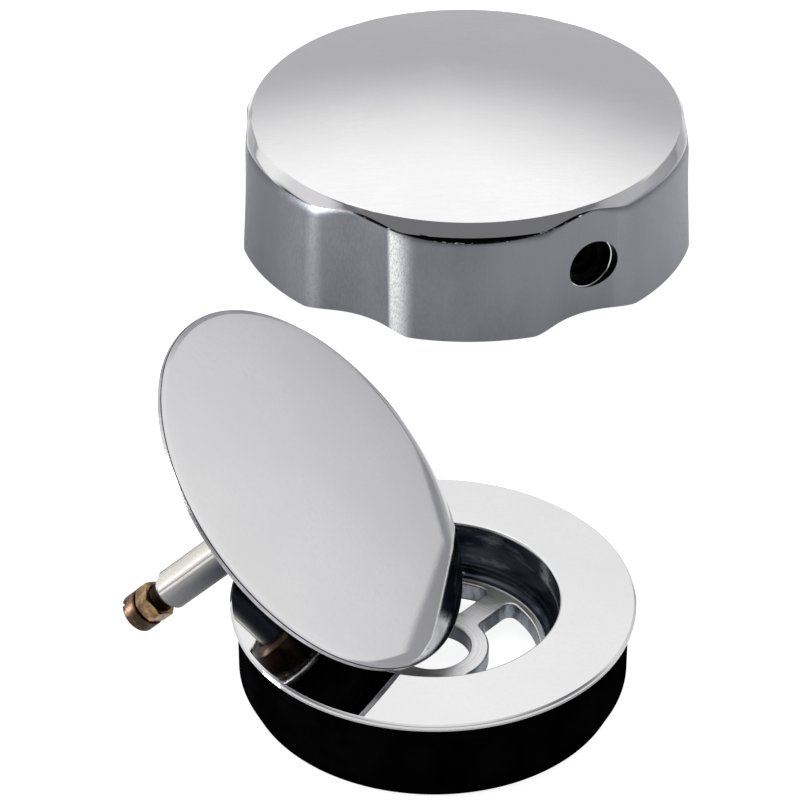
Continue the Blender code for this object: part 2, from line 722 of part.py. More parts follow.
def build():
    whole = make_empty("drain_set")
    drain = make_empty("drain_axis", whole, (0, 0, FLANGE_HEIGHT))
    make_flange(drain)
    make_gasket(drain)
    plug = plug_frame(drain)
    make_disc(plug)
    make_plug_pile(plug)
    make_stem(plug)
    make_lock_nut(plug)
    make_adjusting_screw(plug)
    knob = make_empty("knob_axis", whole, (KNOB_PLACE_X, KNOB_PLACE_Y, 0),
                      Matrix.Rotation(KNOB_TURN, 3, "Z"))
    make_knob_shell(knob)
    make_knob_hub(knob)
    make_grub_screw(knob)
    bpy.context.view_layer.update()
    low, high = set_box()
    whole.location = (-(low.x + high.x) / 2, -(low.y + high.y) / 2, -low.z)
    bpy.context.view_layer.update()


clear_scene()
PARTS = make_collection("bath_drain")
CUTTERS = make_collection("bath_drain_cutters")
build()
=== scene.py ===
"""Looks of the bath drain trim set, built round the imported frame.

Every node but the hidden hub and grub screw is replaced by a finer piece of the same outline, and
those two keep their meshes and get a material. Outlines are (radius, height, fillet) in
millimetres, turned about their group's own Z. The drain's heights start at the flange's top, the
plug's at the rim of its polished face and the knob's at the floor. Materials measure in metres.
"""
import bpy
import bmesh
from math import acos, asin, cos, pi, radians, sin, sqrt, tan
from mathutils import Matrix, Vector


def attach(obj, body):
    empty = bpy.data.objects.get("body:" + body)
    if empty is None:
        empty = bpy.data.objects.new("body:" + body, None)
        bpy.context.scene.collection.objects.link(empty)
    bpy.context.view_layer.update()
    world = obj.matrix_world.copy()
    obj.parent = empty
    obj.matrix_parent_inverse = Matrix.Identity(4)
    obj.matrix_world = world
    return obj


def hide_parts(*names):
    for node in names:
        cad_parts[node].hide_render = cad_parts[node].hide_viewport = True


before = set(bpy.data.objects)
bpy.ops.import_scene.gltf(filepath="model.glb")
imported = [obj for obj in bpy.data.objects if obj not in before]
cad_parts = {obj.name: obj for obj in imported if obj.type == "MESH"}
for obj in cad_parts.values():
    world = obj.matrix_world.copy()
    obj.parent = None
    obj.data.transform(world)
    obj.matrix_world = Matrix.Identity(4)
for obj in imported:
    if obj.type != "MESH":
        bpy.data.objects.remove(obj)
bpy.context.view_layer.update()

MM = 0.001

# Where the three groups stand
DRAIN_X, DRAIN_Y, DRAIN_TOP = 0.98534, -81.192, 16.8
KNOB_X, KNOB_Y = 6.98534, 68.508
KNOB_TURN = radians(1.5)
PLUG_PLACE = (-18.2845, -77.0609, 36.4663)
PLUG_TILT = radians(45.0)
PLUG_BEARING = radians(-12.1)

# Ways round the stem: out of its flat, and to the side that shows from below
FLAT_ANGLE = radians(197.0)
UNDER_ANGLE = radians(345.0)
# How far the flat's edges lie from its middle, in metres
FLAT_EDGE = 0.00212

# The middle of the crescent of painted shade on the disc's rim
CRESCENT_ANGLE = radians(152.0)

LOBES = 6


def place(x, y, z):
    return Matrix.Translation(Vector((x, y, z)) * MM)


DRAIN = place(DRAIN_X, DRAIN_Y, DRAIN_TOP)
KNOB = place(KNOB_X, KNOB_Y, 0) @ Matrix.Rotation(KNOB_TURN, 4, "Z")
PLUG = (place(*PLUG_PLACE) @ Matrix.Rotation(PLUG_BEARING, 4, "Z")
        @ Matrix.Rotation(PLUG_TILT, 4, "Y"))


# ---------------------------------------------------------------- material graphs

def shade(tone, share):
    return tuple(channel * share for channel in tone)


class Graph:
    """Short calls for building a node material."""

    def __init__(self, name):
        self.material = bpy.data.materials.new(name)
        self.material.use_nodes = True
        self.tree = self.material.node_tree
        self.shader = self.tree.nodes["Principled BSDF"]
        self.texco = self.tree.nodes.new("ShaderNodeTexCoord")
        self.object = self.texco.outputs["Object"]

    def add(self, kind, **settings):
        node = self.tree.nodes.new("ShaderNode" + kind)
        for key, value in settings.items():
            setattr(node, key, value)
        return node

    def feed(self, socket, value):
        if isinstance(value, bpy.types.NodeSocket):
            self.tree.links.new(value, socket)
        else:
            socket.default_value = value

    def math(self, kind, *values):
        node = self.add("Math", operation=kind)
        for socket, value in zip(node.inputs, values):
            self.feed(socket, value)
        return node.outputs[0]

    def times(self, first, *others):
        for other in others:
            first = self.math("MULTIPLY", first, other)
        return first

    def scaled(self, vector, scale):
        node = self.add("Mapping")
        self.feed(node.inputs["Vector"], vector)
        node.inputs["Scale"].default_value = scale
        return node.outputs[0]

    def noise(self, vector, scale, detail=3.0, rough=0.5):
        node = self.add("TexNoise")
        self.feed(node.inputs["Vector"], vector)
        node.inputs["Scale"].default_value = scale
        node.inputs["Detail"].default_value = detail
        node.inputs["Roughness"].default_value = rough
        return node.outputs["Fac"]

    def voronoi(self, vector, scale):
        node = self.add("TexVoronoi", feature="F1")
        self.feed(node.inputs["Vector"], vector)
        node.inputs["Scale"].default_value = scale
        return node.outputs["Distance"]

    def ramp(self, value, low, high, out_low=0.0, out_high=1.0):
        node = self.add("MapRange", interpolation_type="SMOOTHSTEP")
        self.feed(node.inputs["Value"], value)
        node.inputs["From Min"].default_value = low
        node.inputs["From Max"].default_value = high
        node.inputs["To Min"].default_value = out_low
        node.inputs["To Max"].default_value = out_high
        return node.outputs["Result"]

    def mix(self, share, low, high):
        node = self.add("Mix", data_type="RGBA")
        self.feed(node.inputs["Factor"], share)
        for socket, value in ((node.inputs[6], low), (node.inputs[7], high)):
            if isinstance(value, bpy.types.NodeSocket):
                self.feed(socket, value)
            else:
                socket.default_value = (*value, 1.0)
        return node.outputs[2]

    def split(self, vector):
        node = self.add("SeparateXYZ")
        self.feed(node.inputs[0], vector)
        return node.outputs

    def radius(self):
        x, y = self.split(self.object)[:2]
        return self.math("SQRT", self.math("ADD", self.times(x, x), self.times(y, y)))

    def toward(self, angle):
        """How far a point lies from the Z axis in one direction round it."""
        x, y = self.split(self.object)[:2]
        return self.math("ADD", self.times(x, cos(angle)), self.times(y, sin(angle)))

    def bump(self, height, distance, strength=1.0, normal=None):
        node = self.add("Bump")
        node.inputs["Strength"].default_value = strength
        node.inputs["Distance"].default_value = distance
        self.feed(node.inputs["Height"], height)
        if normal is not None:
            self.feed(node.inputs["Normal"], normal)
        return node.outputs[0]

    def set(self, **values):
        for key, value in values.items():
            socket = self.shader.inputs[key.replace("_", " ").title().replace("Ior", "IOR")]
            if isinstance(value, tuple) and len(value) == 3:
                value = (*value, 1.0)
            self.feed(socket, value)


def polished(name, tone, rough=0.045, smudge=0.05, brush=0.0):
    """Mirror chrome with faint smudges, hairlines and an uneven shine."""
    g = Graph(name)
    cloud = g.noise(g.object, 38.0, 4.0, 0.55)
    hair = g.noise(g.scaled(g.object, (9000.0, 500.0, 500.0)), 1.0, 2.0, 0.6)
    hair_2 = g.noise(g.scaled(g.object, (500.0, 7000.0, 500.0)), 1.0, 2.0, 0.6)
    lines = g.times(g.ramp(hair, 0.66, 0.80), g.ramp(hair_2, 0.5, 0.8))
    fine = g.noise(g.object, 1100.0, 3.0, 0.7)
    clean = g.mix(g.ramp(cloud, 0.35, 0.7), shade(tone, 0.955), tone)
    if brush:
        stroke = g.noise(g.scaled(g.object, (160.0, 1500.0, 160.0)), 1.0, 4.0, 0.65)
        clean = g.mix(g.ramp(stroke, 0.35, 0.65, 0.0, brush), clean, shade(tone, 0.90))
    soiled = g.mix(g.ramp(fine, 0.42, 0.75, 0.0, 0.55), clean, shade(tone, 0.93))
    g.set(metallic=1.0, base_color=soiled)
    shine = g.ramp(cloud, 0.3, 0.75, rough, rough + smudge)
    g.set(roughness=g.math("ADD", shine, g.times(lines, 0.08)))
    wave = g.noise(g.object, 60.0, 1.0, 0.4)
    first = g.bump(wave, 0.00003, 0.35)
    g.set(normal=g.bump(hair, 0.0000015, 0.5, first))
    return g.material


def satin_side(name):
    """Satin side of the knob, with an upright grain; its dark blue-grey is painted reflection.

    Painted highlights run up the flutes' edges at the front left, the right side has painted light
    and the far left painted shade, and a near-black line of painted reflection with painted glints
    runs under the front lobe's shoulder.
    """
    g = Graph(name)
    x, y, z = g.split(g.object)
    grain = g.noise(g.scaled(g.object, (2600.0, 2600.0, 900.0)), 1.0, 4.0, 0.7)
    speck = g.noise(g.object, 5200.0, 2.0, 0.8)
    cloud = g.noise(g.scaled(g.object, (60.0, 60.0, 25.0)), 1.0, 3.0, 0.5)
    pits = g.voronoi(g.object, 420.0)
    pit = g.ramp(pits, 0.02, 0.07, 1.0, 0.0)
    # Painted reflection: the satin's base tone is set dark blue-grey, clouded at random
    tone = g.mix(g.ramp(cloud, 0.3, 0.7), (0.172, 0.180, 0.201), (0.235, 0.244, 0.266))
    tone = g.mix(g.times(g.ramp(grain, 0.35, 0.75), 0.35), tone, (0.32, 0.327, 0.340))
    # Painted light: the side is paler towards the right
    tone = g.mix(g.ramp(x, 0.012, 0.038, 0.0, 0.35), tone, (0.36, 0.37, 0.395))
    turn = g.math("ARCTAN2", x, g.times(y, -1.0))
    lobe = g.math("FRACT", g.math("ADD", g.times(turn, LOBES / (2 * pi)), 0.5))
    lobe = g.math("SUBTRACT", lobe, 0.5)
    # Painted highlights up the lobes' corners beside the flutes: the left corners strong, fading
    # towards the right, the right corners faint and on the left only; coarse noise makes them
    # grainy
    left = g.times(g.ramp(lobe, -0.362, -0.338), g.ramp(lobe, -0.335, -0.225, 1.0, 0.0),
                   g.ramp(x, -0.005, 0.022, 1.0, 0.05))
    right = g.math("ABSOLUTE", g.math("SUBTRACT", lobe, 0.292))
    right = g.times(g.ramp(right, 0.0, 0.05, 0.20, 0.0), g.ramp(x, -0.020, -0.005, 1.0, 0.0))
    coarse = g.noise(g.scaled(g.object, (3600.0, 3600.0, 1700.0)), 1.0, 3.0, 0.8)
    painted_highlight = g.times(g.math("ADD", left, right), g.ramp(coarse, 0.34, 0.58, 0.42, 1.0))
    tone = g.mix(painted_highlight, tone, (0.94, 0.95, 0.955))
    tone = g.mix(g.times(pit, 0.5), tone, (0.07, 0.075, 0.09))
    # Painted shade: the side is darker towards the far left
    tone = g.mix(g.ramp(x, -0.046, -0.030, 0.60, 0.0), tone, (0.075, 0.08, 0.095))
    # Painted reflection: a near-black line under the front lobe's shoulder
    above = g.math("SUBTRACT", z, g.math("ADD", 0.0214, g.times(x, x, 5.0)))
    band = g.times(g.ramp(above, -0.00005, 0.00025), g.ramp(y, -0.036, -0.038))
    tone = g.mix(band, tone, (0.006, 0.005, 0.006))
    # Painted glints: near-white specks along that painted dark line
    glint = g.noise(g.scaled(g.object, (700.0, 700.0, 2500.0)), 1.0, 2.0, 0.7)
    rim = g.math("ABSOLUTE", g.math("SUBTRACT", above, 0.0002))
    rim = g.times(g.ramp(rim, 0.0001, 0.0002, 1.0, 0.0), band, g.ramp(glint, 0.60, 0.66))
    tone = g.mix(rim, tone, (0.95, 0.95, 0.95))
    g.set(metallic=1.0, base_color=tone)
    g.set(roughness=g.ramp(grain, 0.3, 0.75, 0.30, 0.44))
    first = g.bump(grain, 0.00004, 0.6)
    g.set(normal=g.bump(speck, 0.00003, 0.7, first))
    return g.material


def bore_wall(name):
    """Bore chrome darkened as painted shade, with small pits and turning marks and one painted
    light patch.
    """
    g = Graph(name)
    x, y, z = g.split(g.object)
    ring = g.noise(g.scaled(g.object, (30.0, 30.0, 2600.0)), 1.0, 3.0, 0.6)
    pits = g.voronoi(g.object, 620.0)
    chance = g.noise(g.object, 260.0, 2.0, 0.5)
    pit = g.times(g.ramp(pits, 0.10, 0.28, 1.0, 0.0), g.ramp(chance, 0.52, 0.62))
    cloud = g.noise(g.scaled(g.object, (70.0, 70.0, 160.0)), 1.0, 3.0, 0.5)
    smear = g.noise(g.scaled(g.object, (150.0, 150.0, 420.0)), 1.0, 4.0, 0.6)
    # Painted shade: the chrome's tone is made dark, clouded at random
    tone = g.mix(g.ramp(cloud, 0.35, 0.62), (0.018, 0.021, 0.032), (0.125, 0.132, 0.152))
    tone = g.mix(g.ramp(smear, 0.52, 0.68, 0.0, 0.8), tone, (0.26, 0.27, 0.29))
    # More painted shade towards +x
    tone = g.mix(g.ramp(x, 0.000, 0.017, 0.0, 0.72), tone, (0.012, 0.016, 0.026))
    # clean marks one patch painted pale as painted light, so that the disc mirrors a bright patch
    clean = g.times(g.ramp(x, 0.014, 0.017), g.ramp(y, 0.0085, 0.0115, 1.0, 0.0),
                    g.ramp(y, -0.0080, -0.0060), g.ramp(z, -0.0046, -0.0032))
    patch = g.times(clean, g.ramp(smear, 0.30, 0.45, 0.55, 1.0))
    tone = g.mix(patch, tone, (0.78, 0.80, 0.82))
    tone = g.mix(g.times(pit, 0.8), tone, (0.010, 0.010, 0.012))
    metal = g.math("MAXIMUM", g.ramp(x, 0.000, 0.018, 1.0, 0.45), clean)
    g.set(metallic=metal, base_color=tone, specular_ior_level=0.0)
    g.set(roughness=g.ramp(cloud, 0.3, 0.8, 0.08, 0.20))
    first = g.bump(ring, 0.00003, 0.3)
    g.set(normal=g.bump(g.math("SUBTRACT", 1.0, pit), 0.00006, 0.8, first))
    return g.material


def window_side(name):
    """Blue-grey walls of the crosshead's windows, darker than its silver top, with darker stains.
    """
    g = Graph(name)
    stain = g.noise(g.scaled(g.object, (420.0, 420.0, 160.0)), 1.0, 4.0, 0.6)
    speck = g.noise(g.object, 2200.0, 3.0, 0.8)
    tone = g.mix(g.ramp(stain, 0.36, 0.66), (0.10, 0.112, 0.135), (0.38, 0.41, 0.45))
    tone = g.mix(g.ramp(speck, 0.62, 0.72, 0.0, 0.5), tone, (0.05, 0.05, 0.06))
    g.set(metallic=1.0, base_color=tone)
    g.set(roughness=g.ramp(stain, 0.3, 0.8, 0.22, 0.36))
    g.set(normal=g.bump(speck, 0.00005, 0.6))
    return g.material


def turned_silver(name):
    """Matt silver crosshead with concentric turning marks."""
    g = Graph(name)
    radius = g.radius()
    fine = g.noise(g.times(radius, 9000.0), 1.0, 3.0, 0.7)
    rings = g.add("TexNoise", noise_dimensions="1D")
    g.feed(rings.inputs["W"], g.times(radius, 5200.0))
    rings.inputs["Scale"].default_value = 1.0
    rings.inputs["Detail"].default_value = 3.0
    ring = rings.outputs["Fac"]
    cloud = g.noise(g.object, 140.0, 4.0, 0.6)
    speck = g.noise(g.object, 2400.0, 3.0, 0.8)
    tone = g.mix(g.ramp(ring, 0.3, 0.7), (0.66, 0.66, 0.67), (0.95, 0.95, 0.95))
    tone = g.mix(g.times(g.ramp(cloud, 0.35, 0.7), 0.5), tone, (0.78, 0.78, 0.79))
    tone = g.mix(g.ramp(speck, 0.66, 0.76, 0.0, 0.35), tone, (0.12, 0.12, 0.13))
    g.set(metallic=1.0, base_color=tone)
    g.set(roughness=g.ramp(cloud, 0.3, 0.8, 0.30, 0.45))
    first = g.bump(ring, 0.00004, 0.7)
    second = g.bump(fine, 0.00001, 0.4, first)
    g.set(normal=g.bump(speck, 0.00003, 0.6, second))
    return g.material


def rubber(name):
    """Matt black rubber with a little dust."""
    g = Graph(name)
    fine = g.noise(g.object, 2600.0, 4.0, 0.7)
    broad = g.noise(g.object, 120.0, 4.0, 0.6)
    dust = g.noise(g.object, 1500.0, 2.0, 0.9)
    tone = g.mix(g.ramp(broad, 0.35, 0.75), (0.0010, 0.0010, 0.0014), (0.0035, 0.0035, 0.0040))
    tone = g.mix(g.ramp(dust, 0.76, 0.84, 0.0, 0.15), tone, (0.05, 0.05, 0.055))
    g.set(base_color=tone, metallic=0.0, specular_ior_level=0.0)
    g.set(roughness=g.ramp(broad, 0.3, 0.8, 0.48, 0.66))
    first = g.bump(broad, 0.00012, 0.35)
    g.set(normal=g.bump(fine, 0.00006, 0.55, first))
    return g.material


def drawn_steel(name, light, dark, shade_tone, facing):
    """Satin plated bar with marks along its own Z, with painted shade on the side that it faces
    down.
    """
    g = Graph(name)
    x, y, z = g.split(g.object)
    over = g.toward(FLAT_ANGLE)
    along = g.math("SUBTRACT", g.times(y, cos(FLAT_ANGLE)), g.times(x, sin(FLAT_ANGLE)))
    # Painted shade: a dark line along each edge of the flat
    edge = g.math("ABSOLUTE", g.math("SUBTRACT", g.math("ABSOLUTE", along), FLAT_EDGE))
    edge = g.times(g.ramp(edge, 0.00012, 0.00042, 0.80, 0.0), g.ramp(over, 0.0020, 0.0024))
    draw = g.noise(g.scaled(g.object, (3800.0, 3800.0, 70.0)), 1.0, 3.0, 0.6)
    cloud = g.noise(g.object, 160.0, 3.0, 0.5)
    speck = g.noise(g.object, 1900.0, 3.0, 0.8)
    tone = g.mix(g.ramp(draw, 0.3, 0.7), dark, light)
    grit = g.noise(g.object, 4200.0, 3.0, 0.8)
    tone = g.mix(g.ramp(grit, 0.40, 0.70, 0.0, 0.35), tone, (0.30, 0.28, 0.25))
    tone = g.mix(g.ramp(speck, 0.68, 0.78, 0.0, 0.4), tone, (0.16, 0.12, 0.08))
    # Painted shade on the side the stem faces down, strongest near the disc; a thin stripe towards
    # UNDER_ANGLE is kept out of it as a painted highlight
    lower = g.times(g.ramp(g.toward(facing), 0.0013, 0.0034, 0.35, 1.0),
                    g.ramp(over, 0.0024, 0.0021), g.ramp(z, -0.038, -0.020, 0.72, 1.0),
                    g.ramp(g.toward(UNDER_ANGLE), 0.00335, 0.00345, 1.0, 0.0))
    tone = g.mix(lower, tone, shade_tone)
    tone = g.mix(edge, tone, (0.07, 0.07, 0.075))
    g.set(metallic=1.0, base_color=tone)
    g.set(roughness=g.ramp(cloud, 0.3, 0.8, 0.38, 0.50))
    first = g.bump(draw, 0.00002, 0.5)
    g.set(normal=g.bump(speck, 0.00002, 0.4, first))
    return g.material


def brass(name, bright, dull, rough):
    """Turned brass, clouded from bright to dull and flecked."""
    g = Graph(name)
    cloud = g.noise(g.object, 420.0, 4.0, 0.65)
    turn = g.noise(g.scaled(g.object, (60.0, 60.0, 4200.0)), 1.0, 2.0, 0.5)
    speck = g.noise(g.object, 2600.0, 3.0, 0.8)
    tone = g.mix(g.ramp(cloud, 0.35, 0.68), dull, bright)
    tone = g.mix(g.ramp(speck, 0.57, 0.68, 0.0, 0.75), tone, shade(dull, 0.22))
    g.set(metallic=1.0, base_color=tone)
    g.set(roughness=g.ramp(cloud, 0.3, 0.75, rough + 0.14, rough))
    first = g.bump(turn, 0.00003, 0.5)
    g.set(normal=g.bump(speck, 0.00004, 0.6, first))
    return g.material


def rim_band(name):
    """The disc's rolled rim, with a crescent of painted shade at its upper left."""
    g = Graph(name)
    cloud = g.noise(g.object, 240.0, 4.0, 0.6)
    speck = g.noise(g.object, 2600.0, 3.0, 0.8)
    tone = g.mix(g.ramp(cloud, 0.3, 0.7), (0.38, 0.39, 0.41), (0.50, 0.51, 0.53))
    # Painted shade: the rim is darker in a crescent towards CRESCENT_ANGLE and pale chrome
    # elsewhere
    crescent = g.ramp(g.toward(CRESCENT_ANGLE), 0.0262, 0.0322)
    tone = g.mix(crescent, (0.80, 0.80, 0.805), tone)
    tone = g.mix(g.ramp(speck, 0.60, 0.74, 0.0, 0.20), tone, (0.45, 0.45, 0.47))
    g.set(metallic=1.0, base_color=tone)
    g.set(roughness=g.ramp(cloud, 0.3, 0.8, 0.05, 0.12))
    g.set(normal=g.bump(speck, 0.00001, 0.4))
    return g.material


def dark_metal(name, tone, rough):
    """Plain metal, clouded between its tone and half as pale again."""
    g = Graph(name)
    cloud = g.noise(g.object, 300.0, 4.0, 0.6)
    speck = g.noise(g.object, 1800.0, 3.0, 0.7)
    g.set(metallic=1.0, base_color=g.mix(g.ramp(cloud, 0.3, 0.7), tone, shade(tone, 1.5)))
    g.set(roughness=g.ramp(cloud, 0.3, 0.8, rough, rough + 0.12))
    g.set(normal=g.bump(speck, 0.00005, 0.5))
    return g.material


# ---------------------------------------------------------------- mesh helpers

def new_object(name, mesh, matrix, materials):
    thing = bpy.data.objects.new(name, mesh)
    bpy.context.scene.collection.objects.link(thing)
    thing.matrix_world = matrix
    for material in materials:
        if material.name not in mesh.materials:
            mesh.materials.append(material)
    return thing


def smooth(mesh, angle=34.0):
    """Shade smooth, but sharp where faces turn by more than the angle in degrees."""
    mesh.shade_smooth()
    mesh.set_sharp_from_angle(angle=radians(angle))


def weigh(thing):
    """Keep large faces flat beside small fillets."""
    weights = thing.modifiers.new("weights", "WEIGHTED_NORMAL")
    weights.keep_sharp = True
    weights.weight = 60


def fillet_loop(corners, steps=6):
    """Round the corners of a closed outline; a corner may leave its fillet out."""
    points = []
    corners = [(*corner, 0)[:3] for corner in corners]
    for index, (x, y, radius) in enumerate(corners):
        here = Vector((x, y))
        if radius <= 0:
            points.append((x, y))
            continue
        before = (Vector(corners[index - 1][:2]) - here).normalized()
        after = (Vector(corners[(index + 1) % len(corners)][:2]) - here).normalized()
        half = before.angle(after) / 2
        centre = here + (before + after).normalized() * (radius / sin(half))
        start = here + before * (radius / tan(half)) - centre
        end = here + after * (radius / tan(half)) - centre
        sweep = start.angle_signed(end)
        for step in range(steps + 1):
            points.append(tuple(centre + Matrix.Rotation(-sweep * step / steps, 2) @ start))
    return points


def even_angles(count):
    return [2 * pi * step / count for step in range(count)]


def circle(radius, height, angles):
    return [(radius * cos(a), radius * sin(a), height) for a in angles]


def off_axis(point):
    return sqrt(point.x ** 2 + point.y ** 2)


def skin(name, rows, closed=True):
    """Faces between rows of points; a row of one point is a pole."""
    shape = bmesh.new()
    made = [[shape.verts.new(Vector(point) * MM) for point in row] for row in rows]
    pairs = list(zip(made, made[1:]))
    if closed:
        pairs.append((made[-1], made[0]))
    for a, b in pairs:
        count = max(len(a), len(b))
        if count == 1:
            continue
        for step in range(count):
            other = (step + 1) % count
            corners = [a[step % len(a)], a[other % len(a)], b[other % len(b)], b[step % len(b)]]
            unique = list(dict.fromkeys(corners))
            shape.faces.new(unique)
    bmesh.ops.recalc_face_normals(shape, faces=shape.faces)
    mesh = bpy.data.meshes.new(name)
    shape.to_mesh(mesh)
    shape.free()
    return mesh


def lathe(name, corners, matrix, materials, count=192, steps=6, angles=None, bend=None,
          angle=34.0):
    """Turn a closed outline about local Z; bend moves each point of it."""
    angles = angles or even_angles(count)
    rows = []
    for radius, height in fillet_loop(corners, steps):
        if radius < 1e-6:
            rows.append([(0.0, 0.0, height)])
            continue
        row = circle(radius, height, angles)
        rows.append([bend(*point) for point in row] if bend else row)
    mesh = skin(name, rows)
    smooth(mesh, angle)
    return new_object(name, mesh, matrix, materials)


def bake(thing):
    """Swap a piece's mesh for its evaluated one."""
    graph = bpy.context.evaluated_depsgraph_get()
    mesh = bpy.data.meshes.new_from_object(thing.evaluated_get(graph))
    thing.modifiers.clear()
    thing.data = mesh
    return thing


def cut(thing, cutter):
    """Take the cutter's shape out of a piece."""
    change = thing.modifiers.new("cut", "BOOLEAN")
    change.operation = "DIFFERENCE"
    change.solver = "EXACT"
    change.object = cutter
    bake(thing)
    bpy.data.objects.remove(cutter, do_unlink=True)
    return thing


def bar(name, radius, low, high, matrix, count=96):
    angles = even_angles(count)
    rows = [[(0, 0, low)], circle(radius, low, angles),
            circle(radius, high, angles), [(0, 0, high)]]
    return new_object(name, skin(name, rows, closed=False), matrix, [])


def paint(thing, rule):
    """Give each face the material slot that rule(centre in mm, normal) names."""
    for face in thing.data.polygons:
        face.material_index = rule(face.center / MM, face.normal)


# ---------------------------------------------------------------- materials

CHROME = polished("chrome_top", (0.81, 0.81, 0.815), brush=0.22)
CHROME_FLANGE = polished("chrome_flange", (0.728, 0.732, 0.728), 0.02, 0.03)
CHROME_DISC = polished("chrome_disc", (0.80, 0.80, 0.805), 0.015, 0.025)
BAND = rim_band("disc_band")
DULL_EDGE = dark_metal("dull_edge", (0.42, 0.42, 0.44), 0.20)
# A black line of painted dark reflection on the fillet at the disc's edge
DARK_EDGE = dark_metal("dark_edge", (0.05, 0.05, 0.055), 0.20)
BORE = bore_wall("bore_chrome")
WINDOW_SIDE = window_side("window_side")
SILVER = turned_silver("turned_silver")
SATIN = satin_side("satin_side")
RUBBER = rubber("black_rubber")
SEAL = rubber("seal_rubber")
# The stem's third tone is the painted shade on its underside
STEEL = drawn_steel("stem_steel", (0.84, 0.81, 0.76), (0.72, 0.695, 0.66), (0.055, 0.063, 0.084),
                    radians(300.0))
WASHER = dark_metal("washer_steel", (0.50, 0.50, 0.52), 0.22)
NUT_BRASS = brass("nut_brass", (0.52, 0.335, 0.16), (0.16, 0.10, 0.06), 0.20)
OLD_BRASS = brass("old_brass", (0.21, 0.128, 0.080), (0.055, 0.035, 0.023), 0.36)
THREAD_BRASS = brass("thread_brass", (0.040, 0.025, 0.017), (0.010, 0.007, 0.005), 0.34)
COLLAR_BRASS = brass("collar_brass", (0.075, 0.048, 0.032), (0.018, 0.012, 0.009), 0.30)
# Black oxide, made darker still as painted shade in the knob's hole
BLACK_STEEL = dark_metal("black_steel", (0.010, 0.010, 0.011), 0.35)
# Near black as painted shade: the knob's inside, the sleeve behind its hole and the hidden hub
SHADE_ZINC = dark_metal("zinc_painted_shade", (0.018, 0.018, 0.020), 0.42)

# ---------------------------------------------------------------- waste flange

BORE_RADIUS = 21.2
FLANGE_RADIUS = 34.0
FLANGE_UNDER = -1.6
RIM_GROOVE = 0.22
BOWL_DEPTH = 10.3
CROSSHEAD_UNDER = -13.6
TAIL_RADIUS = 23.7
TAIL_CHAMFER = 0.6
TAIL_END = -16.3
HUB_RADIUS = 9.5
HUB_HOLE_RADIUS = 6.4
WINDOW_RADIUS = 18.0
WINDOW_CORNER = 1.4
SPOKES = 3
SPOKE_WIDTH = 4.4
SPOKE_ANGLE = radians(50)
PLATE_ROUND = 0.35

flange = lathe("flange", [
    (BORE_RADIUS, 0, 0.45),
    (FLANGE_RADIUS - 0.35, 0, 0.12),
    (FLANGE_RADIUS, -0.32, 0.12),
    (FLANGE_RADIUS, -0.72, 0.06),
    (FLANGE_RADIUS - RIM_GROOVE, -0.86, 0.04),
    (FLANGE_RADIUS - RIM_GROOVE, -1.02, 0.04),
    (FLANGE_RADIUS, -1.12, 0.1),
    (FLANGE_RADIUS - 0.5, FLANGE_UNDER, 0.1),
    (TAIL_RADIUS, FLANGE_UNDER, 0),
    (TAIL_RADIUS, TAIL_END + TAIL_CHAMFER, 0),
    (TAIL_RADIUS - TAIL_CHAMFER, TAIL_END, 0),
    (BORE_RADIUS, TAIL_END, 0),
], DRAIN, [CHROME_FLANGE, BORE], 256, 6)


def flange_finish(centre, normal):
    """The bore's wall gets the chrome darkened as painted shade below the fillet at its top."""
    return 1 if off_axis(centre) < BORE_RADIUS + 0.12 and centre.z < -0.45 else 0


paint(flange, flange_finish)
weigh(flange)
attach(flange, "drain")
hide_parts("waste_flange")


def arc(cx, cy, radius, start, end, steps):
    return [(cx + radius * cos(start + (end - start) * s / steps),
             cy + radius * sin(start + (end - start) * s / steps)) for s in range(steps + 1)]


def window_outline(spoke):
    """One window of the crosshead, from a spoke's angle to the next spoke, corners rounded."""
    following = spoke + 2 * pi / SPOKES
    outer = WINDOW_RADIUS - WINDOW_CORNER
    inner = HUB_RADIUS + WINDOW_CORNER
    outer_lean = asin((SPOKE_WIDTH / 2 + WINDOW_CORNER) / outer)
    inner_lean = asin((SPOKE_WIDTH / 2 + WINDOW_CORNER) / inner)
    quarter = pi / 2

    def corner(radius, angle, start, end):
        return arc(radius * cos(angle), radius * sin(angle), WINDOW_CORNER, start, end, 8)

    points = corner(outer, spoke + outer_lean, spoke - quarter, spoke + outer_lean)
    points += arc(0, 0, WINDOW_RADIUS, spoke + outer_lean, following - outer_lean, 40)[1:-1]
    points += corner(outer, following - outer_lean, following - outer_lean, following + quarter)
    points += corner(inner, following - inner_lean, following + quarter,
                     following - inner_lean + pi)
    points += arc(0, 0, HUB_RADIUS, following - inner_lean, spoke + inner_lean, 24)[1:-1]
    points += corner(inner, spoke + inner_lean, spoke + inner_lean + pi, spoke + 3 * quarter)
    return points


